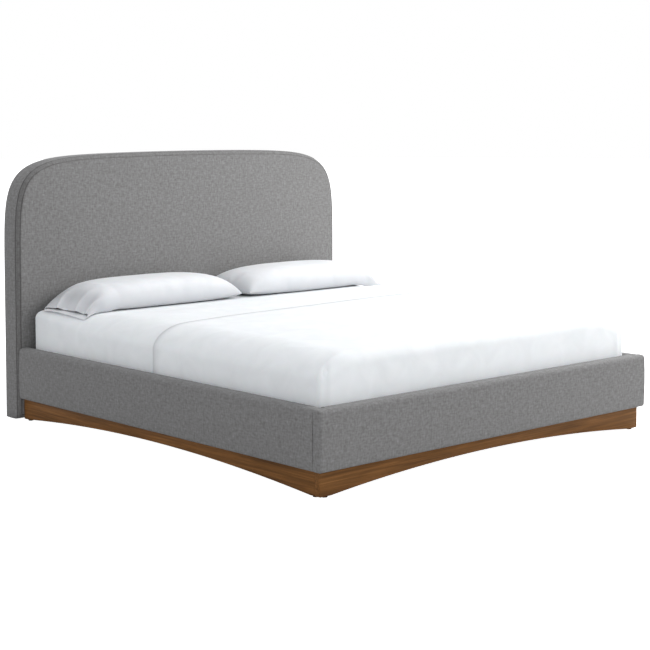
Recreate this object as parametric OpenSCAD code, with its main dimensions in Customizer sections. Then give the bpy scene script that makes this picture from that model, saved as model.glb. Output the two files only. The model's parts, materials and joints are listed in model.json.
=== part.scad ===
// King size upholstered platform bed on an arched walnut plinth, with its mattress and bed linen.
// Millimetres. +X is to the right seen from the foot, +Y runs from foot to headboard, +Z is up.
// The origin lies on the floor under the middle of the whole bed.

/* [Mattress] */
// Width of the mattress
mattress_w = 1930; // [1370:10:2330]
// Length of the mattress
mattress_l = 2032; // [1690:2:2440]
// Thickness of the mattress
mattress_t = 266; // [180:2:340]
// Radius of the mattress's upright corners
mattress_corner_r = 70; // [60:5:120]
// Radius of the mattress's top and bottom edges
mattress_edge_r = 45; // [20:5:60]
// Depth of the mattress below the rails' top
mattress_recess = 76; // [50:2:110]
// Thickness of one layer of bed linen
linen_t = 1.5; // [1:0.5:3]
// Width of the fitted sheet's hem that is gathered under the mattress
fitted_hem = 120; // [60:10:200]
// Distance of the flat sheet's top hem from the mattress's foot
flat_sheet_l = 1080; // [800:10:1500]

/* [Pillows] */
// Length of a pillow across the bed
pillow_l = 860; // [560:10:880]
// Depth of a filled pillow along the bed
pillow_w = 400; // [340:10:520]
// Height of a filled pillow
pillow_h = 145; // [90:5:200]
// Thickness of a pillow at its seam
pillow_edge_t = 9; // [6:1:20]
// Length of pillowcase that runs past the pillow at its open end
case_hem_l = 70; // [20:5:80]
// Distance between the two layers at a pillowcase's open end
case_mouth = 3; // [1:0.5:3.5]
// Distance between the two pillowcases
pillow_gap = 24; // [4:2:60]
// Distance of both pillows to the right of the bed's middle
pillow_shift = 46; // [0:2:60]

/* [Rails] */
// Thickness of an upholstered side rail
rail_t = 61; // [54:1:90]
// Height of an upholstered rail
rail_h = 244; // [200:2:320]
// Thickness of the foot rail between the side rails
foot_rail_t = 68; // [62:1:100]
// Thickness of the foot rail's tongue that caps the side rails
foot_tongue_t = 42; // [36:1:50]
// Thickness of the woven cover with its wadding
cover_t = 3; // [2:0.5:5]
// Thickness of foam on the rails' outer faces
rail_foam_t = 12; // [6:1:16]
// Thickness of foam on the rails' top edges
rail_top_foam_t = 10; // [6:1:16]
// Radius of the rails' outer top edge
rail_top_r = 18; // [12:1:24]
// Radius of the rails' outer bottom edge
rail_low_r = 12; // [8:1:20]
// Distance from the mattress to each rail
rail_gap = 7; // [6:1:30]
// Distance from the mattress to the headboard
head_gap = 42; // [10:1:60]

/* [Plinth] */
// Height of the plinth boards at their ends
plinth_h = 100; // [85:1:160]
// Thickness of the plinth boards
plinth_t = 32; // [25:1:40]
// Distance of the plinth behind the rails' outer faces
plinth_inset = 26; // [20:1:36]
// Rise of the arch cut into each board's lower edge
arch_rise = 50; // [20:1:60]
// Length of straight foot between a front corner and each arch
arch_foot = 57; // [48:1:120]
// Length of straight foot between each side arch and the headboard
head_foot = 30; // [24:1:100]
// Side of the triangular blocks in the plinth's corners
corner_block = 60; // [40:1:90]
// Height of a nail-on glide
glide_h = 6; // [4:1:12]
// Radius of a nail-on glide
glide_r = 11; // [8:1:12]

/* [Headboard] */
// Height of the headboard from the floor
headboard_h = 1280; // [1060:10:1500]
// Thickness of the headboard
headboard_t = 117; // [100:1:160]
// Distance that the headboard stands out past each side rail
headboard_overhang = 5; // [0:1:60]
// Height over which the headboard's sides curve into its top
headboard_curve_h = 860; // [500:10:900]
// Squareness of the headboard's curve: 2 is an ellipse, more is squarer
headboard_squareness = 7.9; // [3:0.1:9]
// Extra crown of the headboard's top, from its middle to its sides
headboard_crown = 20; // [0:1:60]
// Thickness of the headboard's front foam
headboard_foam_t = 30; // [15:1:50]
// Thickness of the plywood panels
panel_t = 9; // [6:1:12]
// Width of the headboard's posts
post_w = 150; // [130:5:200]
// Width of the headboard's arched rib
rib_w = 60; // [40:5:90]
// Height of the headboard's mid rail
mid_rail_h = 90; // [60:5:120]

/* [Deck] */
// Number of slats in each half of the deck
slat_count = 13; // [9:1:16]
// Width of a slat
slat_w = 68; // [50:1:80]
// Thickness of a slat
slat_t = 18; // [12:1:22]
// Thickness of the tape that spaces the slats
tape_t = 1.5; // [1:0.5:3]
// Width of the tape that spaces the slats
tape_w = 25; // [15:1:40]
// Width of the slat cleats
cleat_w = 22; // [18:1:40]
// Height of the slat cleats
cleat_h = 45; // [30:1:46]
// Width of the centre beam
beam_w = 60; // [50:2:90]
// Height of the centre beam
beam_h = 70; // [50:2:80]
// Number of centre legs
leg_count = 3; // [2:1:3]
// Outer radius of a centre leg's tube
leg_r = 19; // [15:1:24]
// Wall of a centre leg's tube
leg_wall = 2; // [1.5:0.5:3]

/* [Hardware] */
// Thickness of the rail brackets
bracket_t = 4; // [3:1:6]
// Length of a rail bracket's short leg
bracket_leg = 60; // [50:1:64]
// Length of a rail bracket's long leg
bracket_long_leg = 84; // [70:1:120]
// Height of a rail bracket
bracket_h = 80; // [60:2:82]
// Thickness of the beam's saddles
saddle_t = 3; // [2:0.5:4]
// Length of the beam's saddles along the beam
saddle_l = 40; // [30:1:60]
// Radius of the bed bolts
bolt_r = 4; // [3:0.5:5]
// Radius of the wood screws
screw_r = 3; // [2:0.5:3.5]
// Depth of a wood screw in the wood it holds
screw_grip = 22; // [16:1:26]
// Radius of a levelling foot's stem
stem_r = 5; // [4:0.5:6]
// Radius of a levelling foot's pad
pad_r = 20; // [15:1:30]
// Thickness of a levelling foot's pad
pad_t = 8; // [5:1:12]

/* [Hidden] */
$fn = 48;
side = ["left", "right"];

seat_gap = 0.3;       // between a loose or soft piece and what it lies on
fit_gap = 0.05;       // radial clearance of a screw, bolt or stem in its hole
over = 1;             // how far a cut runs past the faces that it opens
arc_steps = 6;        // chords in a small rounded corner
arch_steps = 36;      // chords in a plinth's arch
curve_steps = 14;     // chords in each eighth of the headboard's curve

// Places along Y
bed_l = foot_rail_t + rail_gap + mattress_l + head_gap + headboard_t;
foot_y = -bed_l / 2;                          // foot rail's outer face
tongue_y = foot_y + foot_tongue_t;            // where the side rails start
mattress_y0 = foot_y + foot_rail_t + rail_gap;
mattress_y1 = mattress_y0 + mattress_l;
headboard_y = bed_l / 2 - headboard_t;        // headboard's front face
foot_in_y = foot_y + foot_rail_t - cover_t;   // bare inner face of the foot rail's core
plinth_foot_y = foot_y + plinth_inset;        // foot plinth's outer face

// Places along X, as distances from the middle
rail_in = mattress_w / 2 + rail_gap;          // side rails' inner faces
rail_out = rail_in + rail_t;
core_in = rail_in + cover_t;
core_out = rail_out - cover_t - rail_foam_t;
plinth_out = rail_out - plinth_inset;
plinth_in = plinth_out - plinth_t;
foot_board_half = rail_in - seat_gap;         // foot rail's half length between the side rails
headboard_half = rail_out + headboard_overhang;

// Places along Z
rail_z0 = glide_h + plinth_h;
rail_z1 = rail_z0 + rail_h;
core_z0 = rail_z0 + cover_t;
core_z1 = rail_z1 - cover_t - rail_top_foam_t;
deck_z = rail_z1 - mattress_recess;           // top of the tapes on the slats
slat_z1 = deck_z - tape_t;
slat_z0 = slat_z1 - slat_t;
cleat_z0 = slat_z0 - cleat_h;
beam_z0 = slat_z0 - beam_h;
staple_band = 6;                              // height of core above the slats' underside left bare
cover_low_z = slat_z0 + staple_band;          // where the covers end on the rails' inner faces
mattress_z0 = deck_z + linen_t + seat_gap;
mattress_z1 = mattress_z0 + mattress_t;

// Headboard's layers, as distances behind its front face
foam_d = cover_t;
panel_d = foam_d + headboard_foam_t;
frame_d = panel_d + panel_t;
back_panel_d = headboard_t - cover_t - panel_t;
post_out = headboard_half - cover_t;
post_in = post_out - post_w;
curve_z0 = headboard_h - headboard_curve_h;   // where the sides start to curve

// Points of an arc round a centre
function arc(c, r, a0, a1) =
    [for (i = [0:arc_steps]) let (a = a0 + (a1 - a0) * i / arc_steps) c + r * [cos(a), sin(a)]];

// Rectangle from a low corner to a high one, with radii at high-right, high-left, low-left and low-right
function rounded(low, high, r) = concat(
    arc([high[0] - r[0], high[1] - r[0]], r[0], 0, 90),
    arc([low[0] + r[1], high[1] - r[1]], r[1], 90, 180),
    arc([low[0] + r[2], low[1] + r[2]], r[2], 180, 270),
    arc([high[0] - r[3], low[1] + r[3]], r[3], 270, 360));

function mirrored(points) = [for (p = points) [-p[0], p[1]]];

// Superellipse of unit size from its side to the diagonal, with its points closer near the diagonal
function eighth() = let (n = headboard_squareness, turn = pow(0.5, 1 / n))
    [for (i = [0:curve_steps]) let (v = turn * (1 - pow(1 - i / curve_steps, 1.5)))
        [pow(1 - pow(v, n), 1 / n), v]];
// Headboard's curve from its right side over its crowned top to its left side, drawn in by an inset
function headboard_curve(inset) =
    let (half = headboard_half - inset, rise = headboard_curve_h - inset, low = eighth(),
         top = [for (i = [curve_steps - 1:-1:0]) [low[i][1], low[i][0]]],
         right = [for (q = concat(low, top))
             [half * q[0], curve_z0 + (rise - headboard_crown * q[0] * q[0]) * q[1]]],
         left = [for (i = [len(right) - 2:-1:0]) right[i]])
    concat(right, mirrored(left));
function headboard_outline(inset) = let (half = headboard_half - inset)
    concat([[half, glide_h]], headboard_curve(inset), [[-half, glide_h]]);

// Circular arch between two places along a board's lower edge
function arch_points(u0, u1) =
    let (c = (u1 - u0) / 2, r = (c * c + arch_rise * arch_rise) / (2 * arch_rise), half = asin(c / r))
    [for (i = [0:arch_steps]) let (a = -half + 2 * half * i / arch_steps)
        [(u0 + u1) / 2 + r * sin(a), glide_h + arch_rise - r + r * cos(a)]];

// A profile of [x, z] points carried from y0 to y1
module along_y(y0, y1) translate([0, y1, 0]) rotate([90, 0, 0]) linear_extrude(y1 - y0) children();
// A profile of [y, z] points carried from x0 to x1
module along_x(x0, x1) translate([x0, 0, 0]) rotate([90, 0, 90]) linear_extrude(x1 - x0) children();
// A box from its low corner to its high one
module block(low, high) translate(low) cube(high - low);
// What is drawn for the right side, mirrored when the side is left
module on_side(s) if (s == "left") mirror([1, 0, 0]) children(); else children();
// A rod from a point along +Y, and one along +X
module rod_y(p, r, l, fn = $fn) translate(p) rotate([-90, 0, 0]) cylinder(r = r, h = l, $fn = fn);
module rod_x(p, r, l) translate(p) rotate([0, 90, 0]) cylinder(r = r, h = l);

// ---- Screws and bolts. With a gap above 0 each module draws the holes that its fasteners need.
head_r = 1.8 * screw_r;
head_t = 3;
// Wood screw along +Y through a plate of thickness t into wood below y, with its head on +Y
module screw_into_minus_y(x, y, z, t, gap) {
    rod_y([x, y - screw_grip - gap, z], screw_r + gap, screw_grip + t + gap);
    if (gap == 0) rod_y([x, y + t, z], head_r, head_t);
}
// Wood screw through a plate in front of the headboard, deep enough to reach its frame
module screw_into_headboard(x, z, t, gap) {
    rod_y([x, headboard_y - t, z], screw_r + gap, t + frame_d + screw_grip + gap);
    if (gap == 0) rod_y([x, headboard_y - t - head_t, z], head_r, head_t);
}
// Wood screw through a plate of thickness t on the right rail's inner face, with its head on -X
module screw_into_rail(y, z, t, gap) {
    rod_x([core_in - t, y, z], screw_r + gap, t + screw_grip + gap);
    if (gap == 0) rod_x([core_in - t - head_t, y, z], head_r, head_t);
}

bracket_lift = 18;                            // of the brackets above the rails' underside
bracket_z0 = rail_z0 + bracket_lift;
bracket_z1 = bracket_z0 + bracket_h;
bracket_hole_z = [for (k = [0.25, 0.75]) bracket_z0 + k * bracket_h];
bracket_hole_x = core_in - 0.6 * bracket_leg;
bracket_hole_run = 0.65 * bracket_long_leg;   // from a bracket's corner to its holes in the side rail
bolt_head_r = 1.625 * bolt_r;
bolt_head_t = 1.3 * bolt_r;
nut_flange_r = 2.75 * bolt_r;
nut_flange_t = 1.5;
nut_barrel_r = 1.4 * bolt_r;
nut_barrel_l = 10;

// Bolts of the right head bracket, from the bracket through the headboard's front to its tee nuts
module bolts_right(gap) for (z = bracket_hole_z)
    rod_y([bracket_hole_x, headboard_y - bracket_t, z], bolt_r + gap, bracket_t + back_panel_d);
module nuts_right(gap) for (z = bracket_hole_z) {
    rod_y([bracket_hole_x, headboard_y + back_panel_d - nut_flange_t - gap, z],
          nut_flange_r + gap, nut_flange_t + gap);
    rod_y([bracket_hole_x, headboard_y + back_panel_d - nut_barrel_l - gap, z],
          nut_barrel_r + gap, nut_barrel_l + gap);
}
module head_bolts() color("silver") for (s = side) on_side(s) {
    bolts_right(0);
    for (z = bracket_hole_z)
        rod_y([bracket_hole_x, headboard_y - bracket_t - bolt_head_t, z], bolt_head_r, bolt_head_t, 6);
}
module tee_nuts() color("silver") for (s = side) on_side(s) difference() {
    nuts_right(0);
    bolts_right(fit_gap);
}

// Screws of the right side's two brackets, into the side rail and into the foot rail
module bracket_screws_right(gap) for (z = bracket_hole_z) {
    screw_into_rail(foot_in_y + bracket_hole_run, z, bracket_t, gap);
    screw_into_rail(headboard_y - bracket_hole_run, z, bracket_t, gap);
    screw_into_minus_y(bracket_hole_x, foot_in_y, z, bracket_t, gap);
}
module bracket_screws() color("silver") for (s = side) on_side(s) bracket_screws_right(0);

saddle_ear = 20;                              // width of a saddle's ears
saddle_hole_x = beam_w / 2 + saddle_t + saddle_ear / 2;
saddle_hole_z = beam_z0 + 0.4 * beam_h;
module saddle_screws_foot(gap) for (m = [-1, 1])
    screw_into_minus_y(m * saddle_hole_x, foot_in_y, saddle_hole_z, saddle_t, gap);
module saddle_screws_head(gap) for (m = [-1, 1])
    screw_into_headboard(m * saddle_hole_x, saddle_hole_z, saddle_t, gap);
module saddle_screws() color("silver") {
    saddle_screws_foot(0);
    saddle_screws_head(0);
}
// Holes through the headboard's front layers
module headboard_holes() {
    for (s = side) on_side(s) bolts_right(fit_gap);
    saddle_screws_head(fit_gap);
}

// ---- Headboard
module headboard_post(s) color("burlywood") on_side(s) difference() {
    block([post_in, headboard_y + frame_d, glide_h], [post_out, headboard_y + back_panel_d, curve_z0]);
    bolts_right(fit_gap);
    nuts_right(fit_gap);
}
module headboard_arch_rib() color("burlywood")
    along_y(headboard_y + frame_d, headboard_y + back_panel_d)
        polygon(concat(headboard_curve(cover_t), mirrored(headboard_curve(cover_t + rib_w))));
// A piece of the headboard's frame that spans from -half to half
module headboard_member(half, z0, z1)
    block([-half, headboard_y + frame_d, z0], [half, headboard_y + back_panel_d, z1]);
module headboard_mid_rail() color("burlywood") headboard_member(post_in, curve_z0 - mid_rail_h, curve_z0);
module headboard_bottom_rail() color("burlywood") difference() {
    headboard_member(post_in, glide_h, slat_z0);
    saddle_screws_head(fit_gap);
}
module headboard_center_stile() color("burlywood")
    headboard_member(beam_w / 2, curve_z0, headboard_h - cover_t - rib_w - seat_gap);
module headboard_layer(d0, d1, inset) along_y(headboard_y + d0, headboard_y + d1)
    polygon(headboard_outline(inset));
module headboard_front_panel() color("tan") difference() {
    headboard_layer(panel_d, frame_d, cover_t);
    headboard_holes();
}
module headboard_back_panel() color("tan") headboard_layer(back_panel_d, headboard_t - cover_t, cover_t);
module headboard_foam() color("khaki") difference() {
    headboard_layer(foam_d, panel_d, cover_t);
    headboard_holes();
}
module headboard_front_cover() color("gray") difference() {
    headboard_layer(0, cover_t, 0);
    headboard_holes();
}
module headboard_border_cover() color("gray")
    along_y(headboard_y + cover_t, headboard_y + headboard_t - cover_t)
        polygon(concat(headboard_outline(0), mirrored(headboard_outline(cover_t))));
module headboard_back_cover() color("dimgray") headboard_layer(headboard_t - cover_t, headboard_t, 0);

// Nail-on glide: a wide foot under a narrower neck
glide_foot_share = 0.7;
glide_neck_share = 0.8;
module glide(x, y) translate([x, y, 0]) {
    cylinder(r = glide_r, h = glide_foot_share * glide_h);
    translate([0, 0, glide_foot_share * glide_h])
        cylinder(r = glide_neck_share * glide_r, h = (1 - glide_foot_share) * glide_h);
}
module headboard_glides() color("black") for (m = [-1, 1])
    glide(m * (post_out + post_in) / 2, headboard_y + (frame_d + back_panel_d) / 2);

// ---- Side rails: a wooden core, foam on its outside and top, and a woven cover
edge_r = 1;                                   // radius of a sharp upholstered edge
// Radii of a rail's section, drawn in by an inset, with its outer face at high u
function rail_radii(inset) =
    [max(rail_top_r - inset, edge_r), max(rail_top_r / 2 - inset, edge_r), edge_r,
     max(rail_low_r - inset, edge_r)];
module side_rail_section(inset) polygon(rounded(
    [rail_in + inset, rail_z0 + inset], [rail_out - inset, rail_z1 - inset], rail_radii(inset)));
module side_rail_inside() along_y(tongue_y + cover_t, headboard_y - cover_t) side_rail_section(cover_t);
module side_rail_core_form()
    block([core_in, tongue_y + cover_t, core_z0], [core_out, headboard_y - cover_t, core_z1]);
module side_rail_core(s) color("burlywood") on_side(s) difference() {
    side_rail_core_form();
    bracket_screws_right(fit_gap);
    plinth_screws_right(fit_gap);
    cleat_screws_right(fit_gap);
}
module side_rail_foam(s) color("khaki") on_side(s) difference() {
    side_rail_inside();
    side_rail_core_form();
}
stapled_hem = 14;                             // width of core left bare beneath a side rail
module side_rail_cover(s) color("gray") on_side(s) difference() {
    along_y(tongue_y, headboard_y) side_rail_section(0);
    side_rail_inside();
    side_rail_core_form();
    block([rail_in - over, tongue_y, rail_z0 - over], [core_in, headboard_y, cover_low_z]);
    block([rail_in - over, tongue_y, rail_z0 - over], [core_in + stapled_hem, headboard_y, core_z0]);
    plinth_screws_right(fit_gap);
}

// ---- Foot rail: as long as the bed is wide, with a tongue at each end that caps the side rails
module foot_rail_section(inset, y1)
    mirror([1, 0, 0]) polygon(rounded(
        [-y1 + inset, rail_z0 + inset], [-foot_y - inset, rail_z1 - inset], rail_radii(inset)));
module foot_rail_form(inset) {
    along_x(-rail_out + inset, rail_out - inset) foot_rail_section(inset, tongue_y);
    along_x(-foot_board_half + inset, foot_board_half - inset)
        foot_rail_section(inset, foot_y + foot_rail_t);
}
foot_core_y = foot_y + cover_t + rail_foam_t;
module foot_rail_core_form() {
    block([-core_out, foot_core_y, core_z0], [core_out, tongue_y - cover_t, core_z1]);
    block([-foot_board_half + cover_t, foot_core_y, core_z0],
          [foot_board_half - cover_t, foot_in_y, core_z1]);
}
module foot_rail_core() color("burlywood") difference() {
    foot_rail_core_form();
    for (s = side) on_side(s) bracket_screws_right(fit_gap);
    saddle_screws_foot(fit_gap);
    plinth_screws_foot(fit_gap);
}
module foot_rail_foam() color("khaki") difference() {
    foot_rail_form(cover_t);
    foot_rail_core_form();
}
module foot_rail_cover() color("gray") difference() {
    foot_rail_form(0);
    foot_rail_form(cover_t);
    foot_rail_core_form();
    block([-foot_board_half - over, foot_in_y, rail_z0 - over],
          [foot_board_half + over, foot_y + foot_rail_t + over, cover_low_z]);
    plinth_screws_foot(fit_gap);
}

// ---- Plinth: arched boards with blocks in the corners, screwed up into the rails
side_arch_y0 = plinth_foot_y + arch_foot;
side_arch_y1 = headboard_y - head_foot;
side_plinth_y0 = plinth_foot_y + plinth_t;
module plinth_profile(u0, u1, arch_u0, arch_u1) polygon(concat(
    [[u0, glide_h]], arch_points(arch_u0, arch_u1), [[u1, glide_h], [u1, rail_z0], [u0, rail_z0]]));
module side_plinth(s) color("saddlebrown") on_side(s) difference() {
    along_x(plinth_in, plinth_out)
        plinth_profile(side_plinth_y0, headboard_y - seat_gap, side_arch_y0, side_arch_y1);
    plinth_screws_right(fit_gap);
}
module foot_plinth() color("saddlebrown") difference() {
    along_y(plinth_foot_y, side_plinth_y0)
        plinth_profile(-plinth_out, plinth_out, arch_foot - plinth_out, plinth_out - arch_foot);
    plinth_screws_foot(fit_gap);
}
block_z0 = glide_h + 0.2 * plinth_h;
module plinth_block(s) color("peru") on_side(s)
    translate([0, 0, block_z0]) linear_extrude(rail_z0 - block_z0)
        polygon([[plinth_in, side_plinth_y0], [plinth_in, side_plinth_y0 + corner_block],
                 [plinth_in - corner_block, side_plinth_y0]]);
// Screw from a counterbore in a plinth board up into the core of the rail above it
riser_down = 0.34 * plinth_h;
riser_up = 30;
riser_head_r = 2 * screw_r;
riser_head_t = 4;
module riser(x, y, gap) translate([x, y, rail_z0 - riser_down]) {
    cylinder(r = screw_r + gap, h = riser_down + riser_up + gap);
    translate([0, 0, -gap]) cylinder(r = riser_head_r + gap, h = riser_head_t + gap);
    if (gap > 0) translate([0, 0, riser_down - rail_z0])
        cylinder(r = riser_head_r + gap, h = rail_z0 - riser_down);
}
module plinth_screws_right(gap) for (k = [0.12, 0.38, 0.64, 0.9])
    riser((max(core_in, plinth_in) + plinth_out) / 2, tongue_y + k * (headboard_y - tongue_y), gap);
module plinth_screws_foot(gap) for (k = [-0.75, -0.25, 0.25, 0.75])
    riser(k * plinth_out, (max(foot_core_y, plinth_foot_y) + side_plinth_y0) / 2, gap);
module plinth_screws() color("silver") {
    for (s = side) on_side(s) plinth_screws_right(0);
    plinth_screws_foot(0);
}
plinth_mid = plinth_t / 2;
glide_from_end = 38;                          // foot plinth's glides from its ends
module plinth_glides() color("black") for (m = [-1, 1]) {
    glide(m * (plinth_out - plinth_mid), side_plinth_y0 + glide_r + over);
    glide(m * (plinth_out - plinth_mid), headboard_y - head_foot);
    glide(m * (plinth_out - glide_from_end), plinth_foot_y + plinth_mid);
}

// ---- Brackets that join each side rail to the headboard and to the foot rail
module head_bracket(s) color("silver") on_side(s) difference() {
    union() {
        block([core_in - bracket_leg, headboard_y - bracket_t, bracket_z0],
              [core_in, headboard_y, bracket_z1]);
        block([core_in - bracket_t, headboard_y - bracket_long_leg, bracket_z0],
              [core_in, headboard_y, bracket_z1]);
    }
    bolts_right(fit_gap);
    bracket_screws_right(fit_gap);
}
module foot_bracket(s) color("silver") on_side(s) difference() {
    union() {
        block([core_in - bracket_leg, foot_in_y, bracket_z0], [core_in, foot_in_y + bracket_t, bracket_z1]);
        block([core_in - bracket_t, foot_in_y, bracket_z0],
              [core_in, foot_in_y + bracket_long_leg, bracket_z1]);
    }
    bracket_screws_right(fit_gap);
}

// ---- Deck: cleats, slats on tapes, centre beam in its saddles and centre legs
module slat_cleat(s) color("burlywood") on_side(s) difference() {
    block([core_in - cleat_w, foot_in_y + bracket_t, cleat_z0],
          [core_in, headboard_y - bracket_t, slat_z0]);
    cleat_screws_right(fit_gap);
}
slat_pitch = (mattress_l - slat_w) / (slat_count - 1);
slat_end_gap = 4;                             // from a slat's outer end to the rail's core
slat_mid_gap = 2;                             // from a slat's inner end to the bed's middle
module slats(s) color("wheat") on_side(s) for (i = [0:slat_count - 1]) {
    y = mattress_y0 + i * slat_pitch;
    block([slat_mid_gap, y, slat_z0], [core_in - slat_end_gap, y + slat_w, slat_z1]);
}
module slat_tapes(s) color("black") on_side(s) for (k = [0.25, 0.75])
    block([k * core_in - tape_w / 2, mattress_y0, slat_z1], [k * core_in + tape_w / 2, mattress_y1, deck_z]);
module center_beam() color("burlywood") difference() {
    block([-beam_w / 2, foot_in_y + saddle_t, beam_z0], [beam_w / 2, headboard_y - saddle_t, slat_z0]);
    plate_screws(fit_gap);
}
// Saddle drawn with its back on y = 0: a trough for the beam's end, with an ear on each side
saddle_h = 0.75 * beam_h;
module saddle_form() difference() {
    union() {
        block([-beam_w / 2 - saddle_t, 0, beam_z0 - saddle_t],
              [beam_w / 2 + saddle_t, saddle_l, beam_z0 + saddle_h]);
        block([-beam_w / 2 - saddle_t - saddle_ear, 0, beam_z0 - saddle_t],
              [beam_w / 2 + saddle_t + saddle_ear, saddle_t, beam_z0 + saddle_h]);
    }
    block([-beam_w / 2, saddle_t, beam_z0], [beam_w / 2, saddle_l + over, beam_z0 + saddle_h + over]);
}
module beam_saddle_foot() color("silver") difference() {
    translate([0, foot_in_y, 0]) saddle_form();
    saddle_screws_foot(fit_gap);
}
module beam_saddle_head() color("silver") difference() {
    translate([0, headboard_y, 0]) mirror([0, 1, 0]) saddle_form();
    saddle_screws_head(fit_gap);
}
nut_t = 6;
leg_z0 = pad_t + nut_t;
plate_t = 4;
plate_l = 80;
plug_l = 20;
leg_y = [for (i = [1:leg_count]) foot_in_y + i * (headboard_y - foot_in_y) / (leg_count + 1)];
module center_leg(i) color("dimgray") difference() {
    translate([0, leg_y[i - 1], 0]) difference() {
        union() {
            translate([0, 0, leg_z0]) cylinder(r = leg_r, h = beam_z0 - plate_t - leg_z0);
            block([-beam_w / 2, -plate_l / 2, beam_z0 - plate_t], [beam_w / 2, plate_l / 2, beam_z0]);
        }
        translate([0, 0, leg_z0 + plug_l])
            cylinder(r = leg_r - leg_wall, h = beam_z0 - plate_t - leg_z0 - plug_l);
        translate([0, 0, leg_z0 - over]) cylinder(r = stem_r + fit_gap, h = plug_l + 2 * over);
    }
    plate_screws(fit_gap);
}
stem_spare = 40;                              // length of stem above the leg's plug
module leveller(i) color("black") translate([0, leg_y[i - 1], 0]) {
    cylinder(r = pad_r, h = pad_t);
    translate([0, 0, pad_t]) cylinder(r = 1.8 * stem_r, h = nut_t - seat_gap, $fn = 6);
    translate([0, 0, pad_t]) cylinder(r = stem_r, h = nut_t + plug_l + stem_spare);
}
// Screws of the cleats into the rails, and of the legs' plates up into the beam
module cleat_screws_right(gap) for (k = [0.06, 0.28, 0.5, 0.72, 0.94])
    screw_into_rail(foot_in_y + k * (headboard_y - foot_in_y), (cleat_z0 + slat_z0) / 2, cleat_w, gap);
module plate_screws(gap) for (y = leg_y, m = [-1, 1])
    translate([0, y + m * (leg_r + plate_l / 2) / 2, beam_z0 - plate_t]) {
        cylinder(r = screw_r + gap, h = plate_t + screw_grip + gap);
        if (gap == 0) translate([0, 0, -head_t]) cylinder(r = head_r, h = head_t);
    }
module deck_screws() color("silver") {
    for (s = side) on_side(s) cleat_screws_right(0);
    plate_screws(0);
}

// ---- Mattress and sheets
// Two triangles between four corners in turn
function pair(a, b, c, d) = [[a, b, c], [a, c, d]];
// Mattress's outline at one level, grown outwards by g, as points with their height
function mattress_ring(g, z) = let (half = mattress_w / 2 + g, r = mattress_corner_r + g)
    [for (p = rounded([-half, mattress_y0 - g], [half, mattress_y1 + g], [r, r, r, r])) [p[0], p[1], z]];
// Mattress grown outwards by g: rings from its chamfered underside over its rounded top edge
module mattress_form(g) let (
        e = min(mattress_edge_r, mattress_corner_r - edge_r) + g,
        rings = concat(
            [mattress_ring(g - e / 2, mattress_z0 - g), mattress_ring(g, mattress_z0 - g + e / 2)],
            [for (i = [0:arc_steps]) let (a = 90 * i / arc_steps)
                mattress_ring(g - e + e * cos(a), mattress_z1 + g - e + e * sin(a))]),
        n = len(rings[0]), last = len(rings) - 1,
        walls = [for (k = [0:last - 1], i = [0:n - 1]) let (j = (i + 1) % n)
            each pair(k * n + i, k * n + n + i, k * n + n + j, k * n + j)])
    polyhedron([for (ring = rings) each ring],
               concat(walls, [[for (i = [0:n - 1]) i], [for (i = [n - 1:-1:0]) last * n + i]]));
module mattress() color("white") mattress_form(0);
// Fitted sheet over the mattress's top and sides, with its hem gathered underneath
module fitted_sheet() color("white") difference() {
    mattress_form(linen_t);
    mattress_form(0);
    block([-mattress_w / 2 + fitted_hem, mattress_y0 + fitted_hem, mattress_z0 - linen_t - over],
          [mattress_w / 2 - fitted_hem, mattress_y1 - fitted_hem, mattress_z0 + over]);
}
// Flat sheet tucked in at the foot and sides, with its top hem across the bed
tuck_lift = 40;                               // of the tucked edge above the deck
module flat_sheet() color("white") intersection() {
    difference() {
        mattress_form(2 * linen_t);
        mattress_form(linen_t);
    }
    block([-mattress_w, mattress_y0 - mattress_edge_r, deck_z + tuck_lift],
          [mattress_w, mattress_y0 + flat_sheet_l, mattress_z1 + mattress_edge_r]);
}

// ---- Pillows in their cases, lying on the fitted sheet against the headboard
pillow_steps = [20, 12];                      // cells of a pillow along its length and its depth
pillow_back_gap = 10;                         // from the pillows to the headboard
pillow_z0 = mattress_z1 + 2 * linen_t + seat_gap;
pillow_y1 = headboard_y - pillow_back_gap;
pillow_y0 = pillow_y1 - pillow_w;
// Share of the full height at u along and v across a pillow, each from -1 to 1
function fill(u, v) = pow(max(1 - pow(abs(u), 3.2), 0), 0.55) * pow(max(1 - pow(abs(v), 2.6), 0), 0.6);
// Cushion grown outwards by g: a crowned top and a nearly flat bottom that meet at a thin edge
module cushion(low, size, g) let (
        nu = pillow_steps[0], nv = pillow_steps[1],
        points = [for (k = [0, 1], i = [0:nu], j = [0:nv])
            let (f = fill(2 * i / nu - 1, 2 * j / nv - 1))
            [low[0] - g + (size[0] + 2 * g) * i / nu, low[1] - g + (size[1] + 2 * g) * j / nv,
             low[2] + (k == 1 ? pillow_edge_t + (size[2] - pillow_edge_t) * f + g
                              : pillow_edge_t * (1 - f) / 2 - g)]],
        at = function (k, i, j) (k * (nu + 1) + i) * (nv + 1) + j,
        skins = [for (i = [0:nu - 1], j = [0:nv - 1]) each concat(
            pair(at(1, i, j), at(1, i, j + 1), at(1, i + 1, j + 1), at(1, i + 1, j)),
            pair(at(0, i, j), at(0, i + 1, j), at(0, i + 1, j + 1), at(0, i, j + 1)))],
        ends = [for (j = [0:nv - 1]) each concat(
            pair(at(0, 0, j), at(0, 0, j + 1), at(1, 0, j + 1), at(1, 0, j)),
            pair(at(0, nu, j), at(1, nu, j), at(1, nu, j + 1), at(0, nu, j + 1)))],
        edges = [for (i = [0:nu - 1]) each concat(
            pair(at(0, i, 0), at(1, i, 0), at(1, i + 1, 0), at(0, i + 1, 0)),
            pair(at(0, i, nv), at(0, i + 1, nv), at(1, i + 1, nv), at(1, i, nv)))])
    polyhedron(points, concat(skins, ends, edges));
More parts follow.
